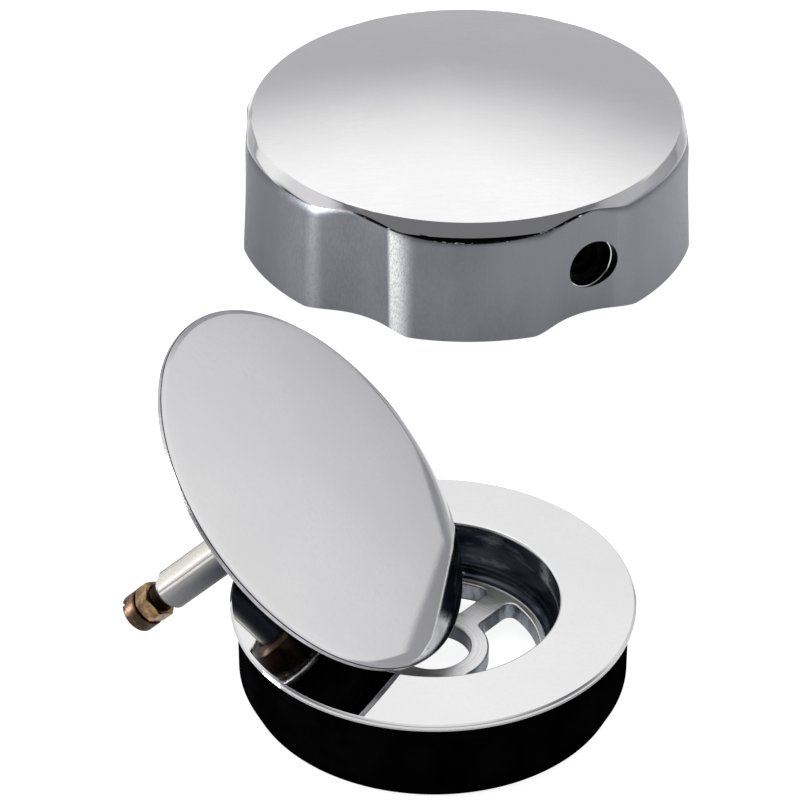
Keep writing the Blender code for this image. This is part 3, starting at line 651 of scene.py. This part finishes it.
def plate(name, outlines, low, high, bevel, matrix, materials):
    """A flat plate with holes and rounded edges, from a filled 2D curve."""
    curve = bpy.data.curves.new(name, "CURVE")
    curve.dimensions = "2D"
    curve.fill_mode = "BOTH"
    curve.extrude = ((high - low) / 2 - bevel) * MM
    curve.bevel_depth = bevel * MM
    curve.bevel_resolution = 3
    curve.offset = -bevel * MM
    for outline in outlines:
        spline = curve.splines.new("POLY")
        spline.points.add(len(outline) - 1)
        for point, (x, y) in zip(spline.points, outline):
            point.co = (x * MM, y * MM, 0, 1)
        spline.use_cyclic_u = True
    holder = bpy.data.objects.new(name + "_curve", curve)
    bpy.context.scene.collection.objects.link(holder)
    graph = bpy.context.evaluated_depsgraph_get()
    mesh = bpy.data.meshes.new_from_object(holder.evaluated_get(graph))
    bpy.data.objects.remove(holder, do_unlink=True)
    shape = bmesh.new()
    shape.from_mesh(mesh)
    bmesh.ops.remove_doubles(shape, verts=shape.verts, dist=0.001 * MM)
    bmesh.ops.translate(shape, verts=shape.verts, vec=(0, 0, (low + high) / 2 * MM))
    bmesh.ops.recalc_face_normals(shape, faces=shape.faces)
    shape.to_mesh(mesh)
    shape.free()
    smooth(mesh, 50.0)
    return new_object(name, mesh, matrix, materials)


round_edge = [arc(0, 0, BORE_RADIUS + 0.3, 0, 2 * pi, 160)[:-1],
              arc(0, 0, HUB_HOLE_RADIUS, 2 * pi, 0, 96)[:-1]]
windows = [window_outline(SPOKE_ANGLE + 2 * pi / SPOKES * number)[::-1]
           for number in range(SPOKES)]
crosshead = plate("crosshead", round_edge + windows, CROSSHEAD_UNDER, -BOWL_DEPTH, PLATE_ROUND,
                  DRAIN, [SILVER, WINDOW_SIDE, BORE])


def crosshead_finish(centre, normal):
    """Silver on top, bore chrome darkened as painted shade in the hub's hole and blue-grey
    elsewhere.
    """
    if normal.z > 0.45:
        return 0
    return 2 if off_axis(centre) < HUB_HOLE_RADIUS + 0.6 else 1


paint(crosshead, crosshead_finish)
weigh(crosshead)
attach(crosshead, "drain")

# The hollow fillet where the bore's wall meets the crosshead; it ends in a small step
COVE = 2.0
COVE_STEP = 0.14
COVE_SINK = 0.1
cove_middle = arc(BORE_RADIUS - COVE, -BOWL_DEPTH + COVE_STEP + COVE, COVE, 0, -pi / 2, 12)[:-1]
cove = lathe("cove", cove_middle + [
    (BORE_RADIUS - COVE, -BOWL_DEPTH + COVE_STEP),
    (BORE_RADIUS - COVE - COVE_STEP, -BOWL_DEPTH),
    (BORE_RADIUS - COVE - COVE_STEP, -BOWL_DEPTH - COVE_SINK),
    (BORE_RADIUS + COVE_SINK, -BOWL_DEPTH - COVE_SINK),
    (BORE_RADIUS + COVE_SINK, -BOWL_DEPTH + COVE_STEP + COVE),
], DRAIN, [BORE, SILVER], 192, 2)
paint(cove, lambda centre, normal: 1 if centre.z < -BOWL_DEPTH + 0.12 else 0)
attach(cove, "drain")

# ---------------------------------------------------------------- gasket

GASKET_BORE = 24.0
GASKET_WALL = 32.8
GASKET_GROOVE = 32.3
GASKET_FOOT = 31.2
GASKET_TOP = -1.9
GASKET_END = -16.8

gasket = lathe("gasket", [
    (GASKET_BORE, GASKET_TOP, 0),
    (GASKET_WALL, GASKET_TOP, 0.5),
    (GASKET_WALL, -3.7, 0.25),
    (GASKET_GROOVE, -4.2, 0.2),
    (GASKET_GROOVE, -4.7, 0.2),
    (GASKET_WALL, -5.2, 0.5),
    (GASKET_WALL, -13.4, 1.6),
    (GASKET_FOOT, GASKET_END, 0.5),
    (GASKET_BORE, GASKET_END, 0),
], DRAIN, [RUBBER], 224, 6)
weigh(gasket)
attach(gasket, "drain")
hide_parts("rubber_gasket")

# ---------------------------------------------------------------- plug

DISC_RADIUS = 33.85
DISC_FACE = DISC_RADIUS - 0.3
DISC_BAND = 32.9
DISC_CROWN = 2.1
DISC_DOME = (DISC_FACE ** 2 + DISC_CROWN ** 2) / (2 * DISC_CROWN)
DISC_UNDER = -1.0
BOSS_RADIUS = 4.0
BOSS_END = -7.0
BOSS_HOLE_RADIUS = 2.7
BOSS_HOLE_TOP = -2.6
CROWN_STEPS = 24


def disc_height(radius):
    return sqrt(DISC_DOME ** 2 - radius ** 2) - DISC_DOME + DISC_CROWN


crown = [(DISC_BAND * step / CROWN_STEPS, disc_height(DISC_BAND * step / CROWN_STEPS), 0)
         for step in range(CROWN_STEPS)]

disc = lathe("disc", crown + [
    (DISC_BAND, disc_height(DISC_BAND), 0),
    (DISC_RADIUS - 0.12, -0.14, 0.06),
    (DISC_RADIUS, -0.27, 0.06),
    (DISC_RADIUS, DISC_UNDER, 0.12),
    (BOSS_RADIUS, DISC_UNDER, 0.2),
    (BOSS_RADIUS, BOSS_END, 0.2),
    (BOSS_HOLE_RADIUS, BOSS_END, 0),
    (BOSS_HOLE_RADIUS, BOSS_HOLE_TOP, 0),
    (0, BOSS_HOLE_TOP, 0),
], PLUG, [CHROME_DISC, DULL_EDGE, DARK_EDGE, BAND], 256, 5)


def disc_finish(centre, normal):
    """Chrome on both faces, the rolled band round the top, then a dark line of painted reflection
    and a dull edge.
    """
    if off_axis(centre) < DISC_BAND - 0.05 or normal.z < -0.9:
        return 0
    if normal.z > 0.9:
        return 3
    return 2 if normal.z > 0.3 else 1


paint(disc, disc_finish)
weigh(disc)

# The seal, the washer and the collar are threaded on the boss, 0.3 mm apart
PILE_BORE = 4.3
SEAL_RADIUS = 30.0
SEAL_TOP, SEAL_GROOVE, SEAL_END = -1.3, -3.0, -3.5
WASHER_RADIUS = 7.2
WASHER_TOP, WASHER_END = -3.8, -4.8
COLLAR_RADIUS = 6.0
COLLAR_BORE = 3.8
COLLAR_CHAMFER = 0.7
COLLAR_TOP, COLLAR_STEP, COLLAR_END = -5.1, -7.3, -11.1

seal = lathe("seal", [
    (PILE_BORE, SEAL_TOP, 0),
    (SEAL_RADIUS, SEAL_TOP, 0.15),
    (SEAL_RADIUS, -2.4, 0.4),
    (28.6, SEAL_END, 0.5),
    (26.0, SEAL_END, 0.2),
    (25.4, SEAL_GROOVE, 0.2),
    (12.0, SEAL_GROOVE, 0.2),
    (11.4, SEAL_END, 0.2),
    (PILE_BORE, SEAL_END, 0),
], PLUG, [SEAL], 192, 4)
washer = lathe("washer", [
    (PILE_BORE, WASHER_TOP, 0.1),
    (WASHER_RADIUS, WASHER_TOP, 0.12),
    (WASHER_RADIUS, WASHER_END, 0.2),
    (PILE_BORE, WASHER_END, 0.1),
], PLUG, [WASHER], 96, 4)
collar = lathe("collar", [
    (PILE_BORE, COLLAR_TOP, 0),
    (COLLAR_RADIUS, COLLAR_TOP, 0.15),
    (COLLAR_RADIUS, COLLAR_END + COLLAR_CHAMFER, 0.1),
    (COLLAR_RADIUS - COLLAR_CHAMFER, COLLAR_END, 0.2),
    (COLLAR_BORE, COLLAR_END, 0.1),
    (COLLAR_BORE, COLLAR_STEP, 0),
    (PILE_BORE, COLLAR_STEP, 0),
], PLUG, [COLLAR_BRASS], 96, 4)
for piece, node in ((disc, "plug_disc"), (seal, "plug_seal"), (washer, "seal_washer"),
                    (collar, "stem_collar")):
    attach(piece, "plug")
    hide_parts(node)

STEM_RADIUS = 3.5
STEM_TOP = -7.3
STEM_END = -37.6
SPIGOT_RADIUS = 2.4
SPIGOT_TOP = -2.9
HALF_FLATS = 2.8
THREAD_HOLE = 2.35
THREAD_HOLE_DEPTH = 12.0


def flatten(x, y, z):
    """Press a point of the stem back onto its nearer flat."""
    if z > STEM_TOP - 0.1:
        return (x, y, z)
    across = Vector((cos(FLAT_ANGLE), sin(FLAT_ANGLE)))
    out = across.x * x + across.y * y
    spare = max(abs(out) - HALF_FLATS, 0.0) * (1 if out > 0 else -1)
    return (x - across.x * spare, y - across.y * spare, z)


def stem_angles():
    """Even angles, with some more at the flats and their edges."""
    edge = acos(HALF_FLATS / STEM_RADIUS)
    found = set(even_angles(72))
    for side in (0, pi):
        for lean in (-edge, -edge * 0.5, 0, edge * 0.5, edge):
            found.add((FLAT_ANGLE + side + lean) % (2 * pi))
    return sorted(found)


stem = lathe("stem", [
    (0, SPIGOT_TOP, 0),
    (SPIGOT_RADIUS, SPIGOT_TOP, 0),
    (SPIGOT_RADIUS, STEM_TOP, 0),
    (STEM_RADIUS, STEM_TOP, 0),
    (STEM_RADIUS, STEM_END + 0.75, 0.1),
    (2.82, STEM_END, 0.1),
    (2.6, STEM_END, 0),
    (THREAD_HOLE, STEM_END + 0.25, 0),
    (THREAD_HOLE, STEM_END + THREAD_HOLE_DEPTH, 0),
    (0, STEM_END + THREAD_HOLE_DEPTH + 0.6, 0),
], PLUG, [STEEL], steps=4, angles=stem_angles(), bend=flatten, angle=22.0)
weigh(stem)
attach(stem, "plug")
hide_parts("plug_stem")

NUT_TOP = STEM_END - 2.1
NUT_THICKNESS = 2.9
NUT_HALF = 3.1
NUT_TURN = radians(51.0)
NUT_CORNER = NUT_HALF / cos(pi / 6)
# How far each ring of the nut's chamfer lies in from its corners and its faces
NUT_CHAMFER = ((0.40, 0.0), (0.30, 0.05), (0.2, 0.11), (0.1, 0.17), (0.035, 0.23), (0.0, 0.30))
COUNTERSINK_RADIUS = 2.62
COUNTERSINK_DEPTH = 0.25
PITCH = 0.8
CREST = 2.28
ROOT = 1.92
SCREW_TIP = STEM_END + 10.0
TIP_RADIUS = 1.5
TIP_TAPER = 0.4
THREAD_STEPS = 16
HEAD_RADIUS = 3.5
HEAD_HEIGHT = 2.9
HEAD_GAP = 0.3
SLOT_WIDTH = 1.0
SLOT_DEPTH = 1.2
SLOT_LENGTH = 9
SLOT_OVERRUN = 1.0
SLOT_ANGLE = radians(18.0)


def make_nut():
    """Hexagon with chamfered corners and a countersunk hole."""
    angles = [NUT_TURN + a for a in even_angles(120)]
    middle = NUT_TOP - NUT_THICKNESS / 2
    half = NUT_THICKNESS / 2

    def hexagon(angle):
        lean = (angle - NUT_TURN) % (pi / 3) - pi / 6
        return NUT_HALF / cos(lean)

    def clipped(limit, height):
        reach = [min(hexagon(a), limit) for a in angles]
        return [(r * cos(a), r * sin(a), height) for r, a in zip(reach, angles)]

    rings = [(NUT_CORNER - inset, half - drop) for inset, drop in NUT_CHAMFER]
    rows = [circle(THREAD_HOLE, middle + half - COUNTERSINK_DEPTH, angles),
            circle(COUNTERSINK_RADIUS, middle + half, angles)]
    rows += [clipped(limit, middle + rise) for limit, rise in rings]
    rows += [clipped(limit, middle - rise) for limit, rise in reversed(rings)]
    rows += [circle(COUNTERSINK_RADIUS, middle - half, angles),
             circle(THREAD_HOLE, middle - half + COUNTERSINK_DEPTH, angles)]
    mesh = skin("nut", rows)
    smooth(mesh, 24.0)
    return new_object("nut", mesh, PLUG, [NUT_BRASS])


nut = make_nut()
weigh(nut)
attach(nut, "lock_nut")
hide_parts("lock_nut")


def thread_radius(angle, height):
    """Radius of a ridge that climbs one pitch a turn."""
    turn = (height / PITCH - angle / (2 * pi)) % 1.0
    ridge = 1 - abs(2 * turn - 1)
    ridge = min(max((ridge - 0.12) / 0.7, 0.0), 1.0)
    return ROOT + (CREST - ROOT) * ridge


def screw_slot(low, high):
    """The block that cuts the slot, between two heights."""
    shape = bmesh.new()
    bmesh.ops.create_cube(shape, size=1.0, matrix=place(0, 0, (low + high) / 2) @ Matrix.Diagonal(
        (SLOT_LENGTH * MM, SLOT_WIDTH * MM, (high - low) * MM, 1)))
    mesh = bpy.data.meshes.new("slot")
    shape.to_mesh(mesh)
    shape.free()
    return new_object("slot", mesh, PLUG @ Matrix.Rotation(SLOT_ANGLE, 4, "Z"), [])


def make_screw():
    """Threaded shank, then a round slotted head."""
    angles = even_angles(72)
    head_top = NUT_TOP - NUT_THICKNESS - HEAD_GAP
    head_end = head_top - HEAD_HEIGHT
    rows = [[(0, 0, SCREW_TIP)], circle(TIP_RADIUS, SCREW_TIP, angles)]
    height = SCREW_TIP - TIP_TAPER
    while height > head_top + 0.25:
        radii = [thread_radius(a, height) for a in angles]
        rows.append([(r * cos(a), r * sin(a), height) for r, a in zip(radii, angles)])
        height -= PITCH / THREAD_STEPS
    head = fillet_loop([(ROOT, head_top + 0.2), (ROOT, head_top), (HEAD_RADIUS, head_top, 0.25),
                        (HEAD_RADIUS, head_end, 0.45), (0, head_end)])
    rows += [[(0, 0, z)] if radius < 1e-6 else circle(radius, z, angles) for radius, z in head]
    mesh = skin("screw", rows, closed=False)
    smooth(mesh, 30.0)
    thing = new_object("screw", mesh, PLUG, [OLD_BRASS, THREAD_BRASS])
    return cut(thing, screw_slot(head_end - SLOT_OVERRUN, head_end + SLOT_DEPTH))


screw = make_screw()
paint(screw, lambda centre, normal: 1 if centre.z > NUT_TOP - NUT_THICKNESS else 0)
weigh(screw)
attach(screw, "adjusting_screw")
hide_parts("adjusting_screw")

# ---------------------------------------------------------------- knob

BASE_RADIUS = 46.7
SHOULDER_RADIUS = 45.4
FOOT_HEIGHT = 1.0
DOME_RADIUS = 43.4
DOME_HEIGHT = 25.2
DOME_RISE = 3.0
CHAMFER_ANGLE = radians(58.0)
SHOULDER_ROUND = 1.6
EDGE_BREAK = 0.5
FLUTE_CHAMFER = 0.9
SHELL_WALL = 2.0
SHELL_TAPER = 0.92
# How far out a flute's floor lies, its radius, and how softly it meets the lobe
FOOT_FLUTE = (42.7, 19.0, 2.8)
TOP_FLUTE = (44.1, 40.0, 1.4)
LOBE_STEPS = 64
WALL_STEPS = 8
# Where points fall over the chamfer and in over the dome
CHAMFER_SHARES = (0.35, 0.7, 0.93)
DOME_SHARES = (0.994, 0.985, 0.96, 0.92, 0.86, 0.78, 0.68, 0.56, 0.43, 0.3, 0.18, 0.08)
HOLE_RADIUS = 5.3
HOLE_ANGLE = -pi / 2 + pi / LOBES + radians(3.0)
HOLE_HEIGHT = 11.3
HOLE_PLACE = (place(0, 0, HOLE_HEIGHT) @ Matrix.Rotation(HOLE_ANGLE, 4, "Z")
              @ Matrix.Rotation(pi / 2, 4, "Y"))


def smooth_least(a, b, blend):
    """The lesser of two values, rounded where they cross."""
    share = max(0.0, min(1.0, 0.5 + 0.5 * (b - a) / blend))
    return b + (a - b) * share - blend * share * (1 - share)


def knob_outline(angle, lobe, flute):
    """How far out the side lies at one angle: the lobes' circle, cut by the nearest flute."""
    floor, radius, blend = flute
    pitch = 2 * pi / LOBES
    lean = (angle % pitch) - pitch / 2
    centre = floor + radius
    inside = radius ** 2 - (centre * sin(lean)) ** 2
    depth = centre * cos(lean) - sqrt(inside) if inside > 0 else centre
    return smooth_least(lobe, depth, blend)


def knob_top(radius):
    """Height of the dome, or of the chamfer round it."""
    if radius <= DOME_RADIUS:
        return DOME_HEIGHT + DOME_RISE * (1 - (radius / DOME_RADIUS) ** 2)
    return DOME_HEIGHT - (radius - DOME_RADIUS) * tan(CHAMFER_ANGLE)


def knob_column(angle):
    """(radius, height) up the knob's skin at one angle."""
    foot = knob_outline(angle, BASE_RADIUS, FOOT_FLUTE)
    rim = knob_outline(angle, SHOULDER_RADIUS, TOP_FLUTE)
    proud = max(0.0, min(1.0, (rim - TOP_FLUTE[0]) / (SHOULDER_RADIUS - TOP_FLUTE[0])))
    bend = EDGE_BREAK + (SHOULDER_ROUND - EDGE_BREAK) * proud
    shoulder = knob_top(rim) - bend
    column = [(foot - 0.25, 0.0), (foot - 0.07, 0.07), (foot, 0.25), (foot, FOOT_HEIGHT)]
    shares = [step / WALL_STEPS for step in range(1, WALL_STEPS + 1)]
    column += [(foot + (rim - foot) * share, FOOT_HEIGHT + (shoulder - FOOT_HEIGHT) * share)
               for share in shares]
    inset = rim - bend * cos(CHAMFER_ANGLE)
    landing = Vector((inset, knob_top(inset)))
    start = Vector((rim, shoulder))
    peak = Vector((rim, knob_top(rim)))
    for share in shares:
        near = start.lerp(peak, share)
        far = peak.lerp(landing, share)
        column.append(tuple(near.lerp(far, share)))
    edge = min(DOME_RADIUS, rim - FLUTE_CHAMFER)
    for share in CHAMFER_SHARES:
        radius = inset + (edge - inset) * share
        height = knob_top(inset) + (knob_top(edge) - knob_top(inset)) * share
        column.append((radius, height))
    column.append((edge - 0.02, knob_top(edge) + 0.005))
    return column + [(edge * share, knob_top(edge * share)) for share in DOME_SHARES]


def inward(x, y, z):
    """The point of the shell's inner face behind one of its side's points."""
    reach = sqrt(x * x + y * y)
    return tuple(Vector((x, y, 0)) * ((reach - SHELL_WALL) / reach)
                 + Vector((0, 0, z * SHELL_TAPER)))


def make_knob():
    """Skin from the dome's middle down to the foot, and up inside to the shell's ceiling."""
    columns = [[(r * sin(angle), -r * cos(angle), h) for r, h in knob_column(angle)]
               for angle in even_angles(LOBES * LOBE_STEPS)]
    rows = [list(row) for row in zip(*columns)]
    rows.append([(0, 0, knob_top(0))])
    inner = [[inward(*point) for point in row] for row in rows[3:4 + WALL_STEPS]]
    rows.reverse()
    foot = [(x * 0.957, y * 0.957, 0.0) for x, y, z in rows[-1]]
    ceiling = [(x * 0.96, y * 0.96, inner[-1][0][2] + 0.8) for x, y, z in inner[-1]]
    rows += [foot] + inner + [ceiling, [(0, 0, knob_top(0) - SHELL_WALL)]]
    mesh = skin("knob", rows, closed=False)
    smooth(mesh, 40.0)
    thing = new_object("knob", mesh, KNOB, [CHROME, SATIN, SHADE_ZINC])
    return cut(thing, bar("hole", HOLE_RADIUS, 36.0, 49.0, KNOB @ HOLE_PLACE))


knob = make_knob()


def knob_finish(centre, normal):
    """Painted shade, near black, inside the shell and the hole, satin on the sides and polished
    above.
    """
    radius = off_axis(centre)
    outward = (normal.x * centre.x + normal.y * centre.y) / max(radius, 1e-6)
    ceiling = normal.z < -0.2 and centre.z > 1.0
    hole = outward < 0.35 and 5 < centre.z < 18
    if outward < -0.2 or ceiling or hole:
        return 2
    if radius > 40 and normal.z < 0.44:
        return 1
    return 0


paint(knob, knob_finish)
weigh(knob)
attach(knob, "knob")
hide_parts("knob_shell")

# A sleeve painted near black as shade behind the hole, and a bright ring at its edge; their
# heights are the distance from the knob's axis
SLEEVE_RADIUS = 6.3
SLEEVE_TOP, SLEEVE_END = 42.4, 40.5
RING_OUTSIDE, RING_INSIDE = 5.32, 5.10
RING_END = 42.45

hole_rim = lathe("hole_rim", [
    (HOLE_RADIUS, SLEEVE_TOP, 0.1),
    (SLEEVE_RADIUS, SLEEVE_TOP, 0.1),
    (SLEEVE_RADIUS, SLEEVE_END, 0),
    (HOLE_RADIUS, SLEEVE_END, 0),
], KNOB @ HOLE_PLACE, [SHADE_ZINC], 96, 3)
hole_ring = lathe("hole_ring", [
    (RING_OUTSIDE, 42.75, 0.03),
    (RING_OUTSIDE, RING_END, 0),
    (RING_INSIDE, RING_END, 0.03),
    (RING_INSIDE, 42.6, 0.03),
], KNOB @ HOLE_PLACE, [CHROME], 96, 3)
for piece in (hole_rim, hole_ring):
    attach(piece, "knob")

for node, material in (("knob_hub", SHADE_ZINC), ("grub_screw", BLACK_STEEL)):
    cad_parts[node].data.materials.clear()
    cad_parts[node].data.materials.append(material)

# ---------------------------------------------------------------- floor, light and camera

FLOOR_HALF = 6
FLOOR_DROP = 0.0002


def make_floor():
    """White to the camera, and darker near the set where metal mirrors it."""
    mesh = bpy.data.meshes.new("floor")
    corners = [(-1, -1), (1, -1), (1, 1), (-1, 1)]
    mesh.from_pydata([(x * FLOOR_HALF, y * FLOOR_HALF, 0) for x, y in corners], [], [(0, 1, 2, 3)])
    g = Graph("floor_white")
    grain = g.noise(g.object, 30.0, 2.0, 0.5)
    path = g.add("LightPath").outputs
    near = g.ramp(g.radius(), 0.13, 0.28, 1.0, 0.0)
    bounce = g.math("ADD", path["Is Glossy Ray"], path["Is Transmission Ray"])
    direct = g.times(path["Is Camera Ray"], 0.86)
    seen = g.math("ADD", direct, g.times(bounce, near, 0.46))
    pale = g.mix(grain, (0.61, 0.61, 0.62), (0.63, 0.63, 0.64))
    far = g.ramp(g.radius(), 0.8, 1.2)
    g.set(base_color=g.mix(far, pale, (0.40, 0.41, 0.43)), roughness=0.9,
          specular_ior_level=0.1, emission_color=(1.0, 1.0, 1.0))
    g.set(emission_strength=g.math("MINIMUM", seen, 1.0))
    floor = new_object("floor", mesh, Matrix.Translation((0, 0, -FLOOR_DROP)), [g.material])


make_floor()


def make_world():
    """A soft studio all round: pale overhead and behind the set, darker where the camera stands.

    The bands in it are what the polished faces mirror.
    """
    world = bpy.data.worlds.new("studio")
    bpy.context.scene.world = world
    world.use_nodes = True
    tree = world.node_tree
    tree.nodes.clear()

    def add(kind, *values, **settings):
        node = tree.nodes.new("ShaderNode" + kind)
        for key, value in settings.items():
            setattr(node, key, value)
        for socket, value in zip(node.inputs, values):
            if isinstance(value, bpy.types.NodeSocket):
                tree.links.new(value, socket)
            elif value is not None:
                socket.default_value = value
        return node

    def maths(kind, *values):
        return add("Math", *values, operation=kind).outputs[0]

    def times(first, *others):
        for other in others:
            first = maths("MULTIPLY", first, other)
        return first

    def ramp(value, low, high, out_low=0.0, out_high=1.0):
        return add("MapRange", value, low, high, out_low, out_high,
                   interpolation_type="SMOOTHSTEP").outputs[0]

    way = add("TexCoord").outputs["Generated"]
    x, y, z = add("SeparateXYZ", way).outputs
    sideways = maths("ABSOLUTE", x)
    left = ramp(x, -0.35, -0.75, 0.0, 0.22)
    back_low = maths("ADD", times(sideways, 0.63), times(z, 0.5))
    back_low = maths("ADD", maths("MAXIMUM", maths("ADD", back_low, 0.185), 0.54), left)
    rise = maths("SUBTRACT", z, times(maths("MAXIMUM", x, 0.0), 0.4))
    high = ramp(rise, 0.36, 0.66)
    back = maths("ADD", times(back_low, maths("SUBTRACT", 1.0, high)), times(high, 1.2))
    lifted = maths("ADD", z, times(sideways, 0.10))
    front = maths("ADD", ramp(lifted, 0.18, 0.32, 0.01, 0.205), ramp(x, 0.78, 0.95, 0.0, 0.32))
    front = maths("ADD", front, ramp(z, 0.62, 0.90, 0.0, 0.95))
    side = times(ramp(x, -0.80, -0.90, 0.0, 0.62), ramp(z, 0.06, 0.20))
    front = maths("ADD", front, side)
    brow = maths("SUBTRACT", z, times(maths("SUBTRACT", x, 0.72), 0.86))
    brow = times(ramp(brow, 0.003, -0.003, 0.0, 0.50), ramp(x, 0.60, 0.66))
    back = times(back, maths("SUBTRACT", 1.0, brow))
    share = ramp(y, 0.08, 0.34)
    level = maths("ADD", times(back, share), times(front, maths("SUBTRACT", 1.0, share)))
    level = times(level, ramp(z, 0.86, 0.96, 1.0, 0.50))
    cool = times(level, ramp(level, 0.1, 1.0, 1.07, 1.0))
    colour = add("CombineColor", level, times(level, 0.995), cool).outputs[0]
    light = add("Background", colour, 1.0)
    out = add("OutputWorld")
    tree.links.new(light.outputs[0], out.inputs[0])


make_world()


def lamp(name, at, to, width, height, watts):
    """A soft rectangle of light at one point, facing another."""
    data = bpy.data.lights.new(name, "AREA")
    data.shape = "RECTANGLE"
    data.size = width
    data.size_y = height
    data.energy = watts
    thing = bpy.data.objects.new(name, data)
    bpy.context.scene.collection.objects.link(thing)
    thing.location = at
    thing.rotation_mode = "QUATERNION"
    thing.rotation_quaternion = (Vector(to) - Vector(at)).to_track_quat("-Z", "Y")


lamp("overhead", (-0.15, 0.1, 1.3), (0, 0, 0), 1.2, 1.2, 1.9)
lamp("low_front", (-0.42, -0.10, 0.05), (0, 0.07, 0.01), 0.10, 0.10, 0.8)

# The camera fitted to the photo, from the middle of the flange's top
CAMERA_BACK, CAMERA_UP = 462.294, 354.204
CAMERA_DOWN = radians(34.231)
CAMERA_LEFT = radians(0.686)

camera_data = bpy.data.cameras.new("camera")
camera = bpy.data.objects.new("camera", camera_data)
bpy.context.scene.collection.objects.link(camera)
camera_data.sensor_width = 36.0
camera_data.lens = 156.39
camera_data.clip_start = 0.05
camera_data.clip_end = 50.0
camera.location = Vector((DRAIN_X, DRAIN_Y - CAMERA_BACK, DRAIN_TOP + CAMERA_UP)) * MM
camera.rotation_euler = (pi / 2 - CAMERA_DOWN, 0.0, CAMERA_LEFT)
bpy.context.scene.camera = camera

bpy.context.scene.view_settings.view_transform = "Standard"
